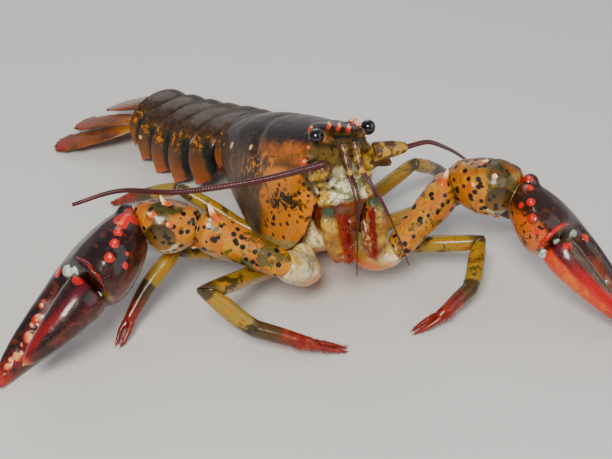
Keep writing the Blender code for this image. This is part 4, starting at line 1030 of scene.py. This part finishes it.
class LOBSTER_OT_tail_fan(bpy.types.Operator):
    """Dresses the telson and the four uropods"""

    bl_idname = "lobster.tail_fan"
    bl_label = "Tail fan"

    def execute(self, context):
        root = box_middle("abdomen_6")
        for node in BLADES:
            obj = fine_copy(node, 0.65, 20, 0.4)
            places = points_of(obj.data)
            centre = places.mean(0)
            axis = np.array([centre[0] - root.x, centre[1] - root.y, 0.0])
            axis /= np.linalg.norm(axis)
            run = (places - centre) @ axis
            mark(obj, "share", (run - run.min()) / (run.max() - run.min()))
            across = (places - centre) @ np.array([axis[1], -axis[0], 0.0])
            mark(obj, "side", across / np.abs(across).max())
            fit_out(obj, skin_once(tail_skin), "shell_orange", node)
        return {"FINISHED"}


class LOBSTER_OT_claws(bpy.types.Operator):
    """Dresses both claws and their movable fingers"""

    bl_idname = "lobster.claws"
    bl_label = "Claws"

    # Rows for knobs_on.
    KNOBS = {
        "claw_right": (
            (3, 50, 5.0, 1.6),
            (7.5, 38, 2.0, 1.5),
            (11, 31, 2.1, 1.9),
            (16, 22, 2.1, 2.1),
            (22, 15, 2.2, 2.2),
            (15, 0, 1.2, 0.9),
            (20, -8, 1.5, 1.2),
            (38.5, 118, 2.2, 1.5),
        ),
        "claw_finger_right": ((37.5, 27, 2.4, 1.5), (40, 45, 1.2, 1.0)),
        "claw_finger_left": ((33.5, -28, 2.0, 1.5),),
        "claw_left": (
            (-1, -75, 2.0, 1.8),
            (2.5, -57, 1.8, 2.0),
            (8, -31, 1.9, 2.1),
            (14, -14, 1.9, 2.1),
            (20, -6, 1.2, 0.9),
            (6, -12, 1.3, 1.2),
            (36.5, -120, 2.0, 1.4),
        ),
    }
    # The teeth of the larger claw's fixed finger: place and radius.
    TEETH = (
        (-138.3, 7.0, 26.2, 1.2),
        (-139.8, 6.3, 24.0, 1.3),
        (-142.5, 3.0, 19.6, 2.3),
        (-144.6, 2.6, 17.6, 1.3),
        (-147.3, -0.9, 14.0, 2.8),
        (-150.6, -1.8, 12.2, 1.3),
        (-154.2, -5.0, 9.0, 2.3),
        (-157.0, -5.4, 8.4, 1.3),
        (-159.4, -7.4, 7.2, 1.6),
    )
    RIM_POINTS = 25
    # The fingers' hinges: the balls of the white skin, then the points that the red rim runs through.
    HINGES = {
        "right": (
            ((-125.8, 4.9, 40.1, 2.9), (-123.2, 0.6, 42.6, 2.4), (-119.0, -12.5, 36.5, 2.2)),
            (
                (-121.5, 2.5, 47.2), (-120.0, -3.0, 48.6), (-117.8, -8.0, 47.6),
                (-116.0, -12.2, 43.8), (-115.6, -14.6, 38.8),
            ),
        ),
        "left": (
            ((77.0, -62.8, 34.0, 2.3), (94.8, -60.2, 38.6, 2.3), (82.4, -64.4, 40.2, 1.8)),
            (
                (91.0, -59.8, 44.6), (85.5, -61.2, 46.6), (79.6, -63.2, 45.6), (75.2, -64.0, 41.8),
                (73.6, -63.6, 36.6),
            ),
        ),
    }

    def execute(self, context):
        for name in ("right", "left"):
            for node, make, slot in (
                (f"claw_{name}", claw_skin, "claw_brown"),
                (f"claw_finger_{name}", finger_skin, "claw_red"),
            ):
                wrist, tip, medial = CLAWS[name]
                rows = self.KNOBS.get(node, ())
                knobs = knobs_on(node, at(wrist), at(tip), Vector(medial), rows)
                if node == "claw_right":
                    bite = (Vector(medial) + Vector((0, 0.3, 0.7))).normalized()
                    knobs += [(at(p), bite, r * MM, r * 0.8 * MM, False) for *p, r in self.TEETH]
                obj = fine_copy(node, 0.8, 150, 0.5, knobs)
                fit_out(obj, make(name), slot, node)
            self.hinge(name)
        return {"FINISHED"}

    def hinge(self, name):
        """The finger's hinge: soft white skin in the gap and a raised red rim round it."""
        skins, rim = self.HINGES[name]
        white = plain_skin(f"hinge_skin_{name}", (0.80, 0.84, 0.80), (0.40, 0.46, 0.40), 300, 0.25, 0.5)
        tints, thick = ((0.40, 0.030, 0.010), (0.20, 0.016, 0.010)), 0.85
        if name == "left":
            tints, thick = ((0.70, 0.05, 0.008), (0.45, 0.03, 0.008)), 1.2
        red = plain_skin(f"hinge_rim_skin_{name}", *tints, 260, 0.22, 0.5)
        skin = joined([ball(at(place), radius) for *place, radius in skins])
        skin.name = f"hinge_skin_{name}"
        blend_lumps(skin, 14)
        fit_out(skin, white, "underside_cream")
        bpy.context.view_layer.update()
        palm = bpy.data.objects[f"claw_{name}_surface"]
        shaped = []
        for k, place in enumerate(smooth_path([at(p) for p in rim], self.RIM_POINTS)):
            _, ground, facing, _ = palm.closest_point_on_mesh(place)
            swell = math.sin(math.pi * (0.12 + 0.76 * k / (self.RIM_POINTS - 1)))
            shaped.append((ground + facing * 0.3 * MM, thick * swell))
        fit_out(strands(f"hinge_rim_{name}", [shaped], MM, 4), red, "claw_red")


class LOBSTER_OT_arms(bpy.types.Operator):
    """Dresses the arms that carry the claws"""

    bl_idname = "lobster.arms"
    bl_label = "Claw arms"

    # Rows for spines_along.
    MERUS = (
        (0.86, 0.1, 9.6, 8.5, 2.6, 0.7),
        (0.9, math.pi, 9.4, 5.5, 2.2, 0.7),
        (0.32, -1.9, 7.2, 3.2, 1.5, 0.3),
        (0.48, -1.6, 7.2, 2.6, 1.5, 0.3),
        (0.62, -1.75, 7.2, 3.0, 1.5, 0.3),
        (0.74, -1.5, 7.2, 2.4, 1.5, 0.3),
        (0.4, -2.5, 7.2, 2.2, 1.5, 0.3),
        (0.56, -2.5, 7.2, 2.4, 1.5, 0.3),
        (0.25, -1.2, 7.0, 1.2, 1.0, 0.3),
        (0.4, -1.1, 7.0, 1.0, 0.9, 0.3),
        (0.55, -1.2, 7.2, 1.2, 1.0, 0.3),
    )
    CARPUS = (
        (0.5, 0.0, 11.6, 6.0, 2.2, 0.5),
        (0.72, 0.55, 11.6, 4.6, 1.8, 0.5),
        (0.6, -0.7, 11.6, 4.0, 1.7, 0.5),
        (0.72, -2.3, 11.6, 6.0, 2.2, 0.5),
        (0.5, -1.5, 11.6, 3.4, 1.5, 0.5),
        (0.66, 3.1, 11.6, 4.0, 1.8, 0.5),
        (0.42, 0.9, 11.6, 3.2, 1.5, 0.5),
        (0.8, -1.1, 10.9, 1.8, 1.1, 0.4),
        (0.86, -0.3, 10.4, 1.8, 1.1, 0.4),
    )

    def execute(self, context):
        arm, root = skin_once(arm_skin), skin_once(root_skin)
        for name in ("right", "left"):
            front = -1 if name == "right" else 1
            hip, elbow, wrist = (at(p) for p in ARMS[name])
            for part, ends, rows in (
                ("merus", (hip, elbow), self.MERUS), ("carpus", (elbow, wrist), self.CARPUS),
            ):
                node = f"cheliped_{name}_{part}"
                grown = 1.6 if node == "cheliped_left_carpus" else 0.0
                turned = [
                    (share, turn * front, reach + grown, *rest) for share, turn, reach, *rest in rows
                ]
                obj = fine_copy(node, 0.7, 120, 0.45, spines_along(*ends, turned))
                fit_out(obj, arm, "shell_orange", node)
            node = f"cheliped_{name}_root"
            fit_out(fine_copy(node, 0.75, 90, 0.45), root, "underside_cream", node)
        return {"FINISHED"}


class LOBSTER_OT_legs(bpy.types.Operator):
    """Dresses the four pairs of walking legs"""

    bl_idname = "lobster.legs"
    bl_label = "Walking legs"

    def execute(self, context):
        skin = skin_once(leg_skin)
        for name in ("right", "left"):
            for k, joints in enumerate(LEGS[name]):
                knee, wrist, _, tip = (at(p) for p in joints)
                for part in ("upper", "lower"):
                    node = f"leg_{name}_{k + 2}_{part}"
                    obj = fine_copy(node, 0.7, 30, 0.4)
                    if part == "upper":
                        root = Vector((STANCE.x, knee.y, knee.z))
                        mark_line(obj, "share", root, knee)
                        mark(obj, "tip", 0)
                    else:
                        mark_line(obj, "share", knee, wrist)
                        mark_line(obj, "tip", wrist, tip)
                    fit_out(obj, skin, "leg_olive", node)
        return {"FINISHED"}


class LOBSTER_OT_mouth(bpy.types.Operator):
    """Dresses the outer mouth legs"""

    bl_idname = "lobster.mouth"
    bl_label = "Mouth legs"

    def execute(self, context):
        skin = skin_once(mouth_skin)
        for name in ("right", "left"):
            node = f"maxilliped_{name}"
            fit_out(fine_copy(node, 0.6, 20, 0.4), skin, "leg_olive", node)
        return {"FINISHED"}


class LOBSTER_OT_feelers(bpy.types.Operator):
    """Builds the long ringed feelers and the short forked ones, with their roots"""

    bl_idname = "lobster.feelers"
    bl_label = "Feelers"

    # How far each loop of a ring stands out, and how the last loops narrow, from the tip back.
    CROWNS = (0.0, 0.8, 1.0, 0.8)
    END_SHARES = (0.45, 0.8, 1.0)
    # The radii along a short feeler's jointed base, in millimetres, and how many steps its two tips have.
    BASE_RADII = (2.1, 2.4, 2.3, 1.7, 2.1, 2.0, 1.5, 1.8, 1.3)
    FORK_STEPS = 90

    def execute(self, context):
        skin = skin_once(feeler_skin)
        base = skin_once(feeler_root_skin)
        for name, side in (("right", -1), ("left", 1)):
            node = f"antenna_root_{name}"
            fit_out(fine_copy(node, 0.6, 25, 0.4), base, "shell_orange", node)
            self.whip(name, skin)
            self.forked(name, side, skin)
        return {"FINISHED"}

    def whip(self, name, skin):
        points = [at(p) for p in WHIPS[name]]
        length = sum((b - a).length for a, b in zip(points, points[1:]))
        rings = round(length / sizes().ring)
        count = rings * len(self.CROWNS) + 1
        thick, thin = WHIP_RADIUS[name]
        path = smooth_path(points, count)
        swell, shaped = [], []
        for k, place in enumerate(path):
            share = k / (count - 1)
            crown = self.CROWNS[k % len(self.CROWNS)]
            radius = (thick + (thin - thick) * share) * (0.86 + 0.14 * crown)
            if count - k <= len(self.END_SHARES):
                radius *= self.END_SHARES[count - k - 1]
            shaped.append((place, radius))
            swell.append(crown)
        obj = strands(f"antenna_{name}_whip", [shaped], MM, 3)
        places = points_of(obj.data)
        line = np.array(path)
        nearest = ((places[:, None, :] - line[None, :, :]) ** 2).sum(2).argmin(1)
        mark(obj, "ring", np.array(swell)[nearest])
        fit_out(obj, skin, "feeler_red", f"antenna_{name}", angle=80)

    def forked(self, name, side, skin):
        root, fork = in_head(side * 3.0, -10.0, -7.4), in_head(side * 3.0, -14.6, -22.0)
        shaped = zip(smooth_path([root, fork], len(self.BASE_RADII)), self.BASE_RADII)
        base = strands(f"antennule_{name}_base", [list(shaped)], MM, 5)
        mark(base, "relief", 0)
        fit_out(base, skin_once(feeler_root_skin), "feeler_red")
        shaped = []
        for k, tip in enumerate(STRAND_TIPS[name]):
            start = fork + Vector(((k - 0.5) * side * -1.2, 0, 1.6)) * MM
            middle = start.lerp(at(tip), 0.3) + Vector((side * 0.6, -6.0 + k * 0.8, 0)) * MM
            path = enumerate(smooth_path([start, middle, at(tip)], self.FORK_STEPS + 1))
            shaped.append(
                [(p, (0.72 - 0.42 * i / self.FORK_STEPS) * (1 if i % 3 else 0.86)) for i, p in path]
            )
        obj = strands(f"antennule_{name}_strands", shaped, MM, 2)
        mark(obj, "ring", 0.7)
        fit_out(obj, skin, "feeler_red", f"antennule_{name}", angle=80)


class LOBSTER_OT_eyes(bpy.types.Operator):
    """Builds the eyes on their stalks"""

    bl_idname = "lobster.eyes"
    bl_label = "Eyes"

    def execute(self, context):
        glass = skin_once(eye_skin)
        stalk = plain_skin("eyestalk_skin", (0.20, 0.10, 0.03), (0.42, 0.22, 0.06), 200)
        for name in ("right", "left"):
            node = f"eye_{name}"
            low, high = (Vector(v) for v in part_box(node))
            deselect()
            bpy.ops.mesh.primitive_uv_sphere_add(
                segments=48, ring_count=32, radius=0.5, location=(low + high) / 2,
            )
            made = bpy.context.object
            made.name = f"eye_{name}_ball"
            made.scale = (high - low) * 0.99
            bpy.ops.object.transform_apply(location=True, rotation=True, scale=True)
            fit_out(made, glass, "eye_black", node)
            node = f"eyestalk_{name}"
            fit_out(fine_copy(node, 0.5, 20, 0.4), stalk, "shell_brown", node)
        return {"FINISHED"}


class LOBSTER_OT_joint_skins(bpy.types.Operator):
    """Builds the soft pale skin that shows between the hard pieces of the limbs"""

    bl_idname = "lobster.joint_skins"
    bl_label = "Joint skins"

    def execute(self, context):
        skin = plain_skin("joint_skin", (0.34, 0.33, 0.24), (0.58, 0.52, 0.36), 260, 0.35, 0.3)
        places = []
        for name in ("right", "left"):
            hip, elbow, wrist = (at(p) for p in ARMS[name])
            places += [(hip, 4.9), (elbow, 5.2), (wrist, 6.4)]
            for k, joints in enumerate(LEGS[name]):
                places.append((at(joints[0]), 2.7 * LEG_SIZE[k]))
        for k, (place, radius) in enumerate(places):
            made = ball(place, radius)
            made.name = f"joint_skin_{k + 1}"
            fit_out(made, skin, "underside_cream")
        return {"FINISHED"}


class LOBSTER_OT_bristles(bpy.types.Operator):
    """Builds the bristles of the leg tips, the mouth legs and the tail fan"""

    bl_idname = "lobster.bristles"
    bl_label = "Bristles"

    # How many hairs each tuft has, and how long they are.
    FRONT_LEG_HAIRS = 260
    LEG_HAIRS = 90
    MOUTH_HAIRS = 420
    FRINGE_HAIRS = 190
    LEG_HAIR = 2.6 * MM
    MOUTH_HAIR = 4.2 * MM
    FRINGE_HAIR = 3.0 * MM

    def execute(self, context):
        red = plain_skin("bristle_red_skin", (0.36, 0.03, 0.012), (0.52, 0.09, 0.03), 300, 0.45, 0.1)
        brown = plain_skin("bristle_brown_skin", (0.20, 0.07, 0.025), (0.34, 0.14, 0.05), 300, 0.5, 0.1)
        chance = np.random.default_rng(11)
        for name in ("right", "left"):
            for k in range(len(LEG_SIZE)):
                pincer, tip = (at(p) for p in LEGS[name][k][2:])
                axis = (tip - pincer).normalized()
                roots = []
                for _ in range(self.FRONT_LEG_HAIRS if k < 1 else self.LEG_HAIRS):
                    share = chance.uniform(-0.3 if k < 1 else 0.05, 0.85)
                    turn = chance.uniform(0, math.tau)
                    out = (axis.orthogonal() @ Matrix.Rotation(turn, 3, axis)).normalized()
                    radius = 3.0 * (1 - 0.55 * share) * LEG_SIZE[k] * MM * 0.8
                    roots.append((pincer.lerp(tip, share) + out * radius, (out + axis * 1.6).normalized()))
                tuft = bristles(f"leg_{name}_{k + 2}_bristles", roots, self.LEG_HAIR, 0.25, 20 + k)
                fit_out(tuft, red, "leg_olive", angle=180)
            side = -1 if name == "right" else 1
            roots = []
            for _ in range(self.MOUTH_HAIRS):
                share, spread = chance.uniform(0, 1), chance.uniform(-1, 1)
                inner = chance.uniform(0, 1) < 0.45
                out = 5.4 if inner else 9.6 - 1.4 * share
                across = side * (out + spread * 0.8)
                place = in_head(across, -10.0 + spread * 1.2 - 1.6 * inner, -38 - 22 * share)
                toward = Vector((side * (0.4 if inner else -1.0), -0.7 + 0.3 * spread, -0.35))
                roots.append((place, (HEAD.to_3x3() @ toward).normalized()))
            tuft = bristles(f"mouth_{name}_bristles", roots, self.MOUTH_HAIR, 0.3, 40 + side, 0.15, 1.3)
            fit_out(tuft, red, "leg_olive", angle=180)
        self.fringe(brown)
        return {"FINISHED"}

    def blade_edge(self, node):
        """Places round the rear edge of a tail blade, each with the way its hair points."""
        places = points_of(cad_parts[node].data)
        centre = places.mean(0)
        low, high = (np.array(v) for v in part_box("abdomen_6"))
        axis = (centre - (low + high) / 2) * (1, 1, 0)
        axis /= np.linalg.norm(axis)
        across = np.array([axis[1], -axis[0], 0.0])
        run, wide = (places - centre) @ axis, (places - centre) @ across
        corners = []
        for turn in np.linspace(-1.3, 1.3, 120):
            way = math.cos(turn) * axis / np.ptp(run) + math.sin(turn) * across / np.ptp(wide)
            corner = places[((places - centre) @ way).argmax()]
            if not corners or np.linalg.norm(corner - corners[-1]) > 0.3 * MM:
                corners.append(corner)
        corners = np.array(corners)
        passed = np.concatenate(([0.0], np.cumsum(np.linalg.norm(np.diff(corners, axis=0), axis=1))))
        stops = np.linspace(0, passed[-1], self.FRINGE_HAIRS)
        edge = np.stack([np.interp(stops, passed, corners[:, i]) for i in range(3)], 1)
        return [
            (Vector(place), Vector((place - centre) / np.ptp(run) + axis * 0.5).normalized())
            for place in edge
        ]

    def fringe(self, skin):
        """A row of hairs along the rear edge of each tail blade."""
        for k, node in enumerate(BLADES):
            roots = [(place - way * 1.2 * MM, way) for place, way in self.blade_edge(node)]
            tuft = bristles(f"{node}_fringe", roots, self.FRINGE_HAIR, 0.08, 60 + k, 0.0, 0.9)
            fit_out(tuft, skin, "shell_orange", angle=180)


class LOBSTER_OT_stage(bpy.types.Operator):
    """Lays the floor and sets the lights and the camera"""

    bl_idname = "lobster.stage"
    bl_label = "Stage"

    ROOM_COLOUR = (0.86, 0.9, 1.0, 1)
    ROOM_STRENGTH = 0.34
    # Each light: name, place, width, power and colour. All face the middle of the animal.
    LIGHTS = (
        ("key", (-0.55, -0.75, 0.95), 0.4, 18.0, (1.0, 0.95, 0.87)),
        ("fill", (0.9, -0.8, 0.7), 1.1, 5.0, (0.9, 0.95, 1.0)),
        ("rim", (0.35, 1.0, 0.8), 0.8, 4.0, (1.0, 0.98, 0.94)),
    )
    MIDDLE = Vector((0, 0, 0.03))

    def execute(self, context):
        deselect()
        bpy.ops.mesh.primitive_plane_add(size=8, location=(0, 0, 0))
        floor = bpy.context.object
        floor.name = "floor"
        s = Sheet("floor_paint")
        s.start(s.noise(3, 3), tuple(colours().floor), tuple(v * 0.97 for v in colours().floor))
        s.finish(0.7, coat=0.0)
        floor.data.materials.append(s.material)
        world = bpy.data.worlds.new("soft_room")
        world.use_nodes = True
        room = world.node_tree.nodes["Background"].inputs
        room["Color"].default_value = self.ROOM_COLOUR
        room["Strength"].default_value = self.ROOM_STRENGTH
        context.scene.world = world
        for name, place, size, power, tint in self.LIGHTS:
            light = bpy.data.lights.new(name, "AREA")
            light.size, light.energy, light.color = size, power, tint
            lamp = bpy.data.objects.new(name, light)
            context.scene.collection.objects.link(lamp)
            lamp.location = place
            lamp.rotation_euler = (self.MIDDLE - Vector(place)).to_track_quat("-Z", "Y").to_euler()
        camera = bpy.data.objects.new("camera", bpy.data.cameras.new("camera"))
        context.scene.collection.objects.link(camera)
        turned = Matrix((EYE_RIGHT, EYE_UP, -EYE_AHEAD)).transposed().to_4x4()
        turned.translation = EYE_POINT + STANCE
        camera.matrix_world = turned
        camera.data.lens, camera.data.sensor_width = EYE_LENS, SENSOR
        context.scene.camera = camera
        return {"FINISHED"}


OPERATORS = (
    LOBSTER_OT_shell,
    LOBSTER_OT_underside,
    LOBSTER_OT_abdomen,
    LOBSTER_OT_tail_fan,
    LOBSTER_OT_claws,
    LOBSTER_OT_arms,
    LOBSTER_OT_legs,
    LOBSTER_OT_mouth,
    LOBSTER_OT_feelers,
    LOBSTER_OT_eyes,
    LOBSTER_OT_joint_skins,
    LOBSTER_OT_bristles,
    LOBSTER_OT_stage,
)


class LOBSTER_PT_panel(bpy.types.Panel):
    """The sizes, colours and pieces of the lobster"""

    bl_idname = "LOBSTER_PT_panel"
    bl_label = "Lobster"
    bl_space_type = "VIEW_3D"
    bl_region_type = "UI"
    bl_category = "Lobster"

    def draw(self, context):
        for group in (context.scene.lobster_sizes, context.scene.lobster_colours):
            column = self.layout.column()
            for name in group.__annotations__:
                column.prop(group, name)
        for operator in OPERATORS:
            self.layout.operator(operator.bl_idname)


CLASSES = (LobsterColours, LobsterSizes, *OPERATORS, LOBSTER_PT_panel)


def register():
    for kind in CLASSES:
        bpy.utils.register_class(kind)
    bpy.types.Scene.lobster_colours = bpy.props.PointerProperty(type=LobsterColours)
    bpy.types.Scene.lobster_sizes = bpy.props.PointerProperty(type=LobsterSizes)


def unregister():
    del bpy.types.Scene.lobster_sizes
    del bpy.types.Scene.lobster_colours
    for kind in reversed(CLASSES):
        bpy.utils.unregister_class(kind)


def main():
    register()
    for operator in OPERATORS:
        group, name = operator.bl_idname.split(".")
        getattr(getattr(bpy.ops, group), name)()


if __name__ == "__main__":
    main()
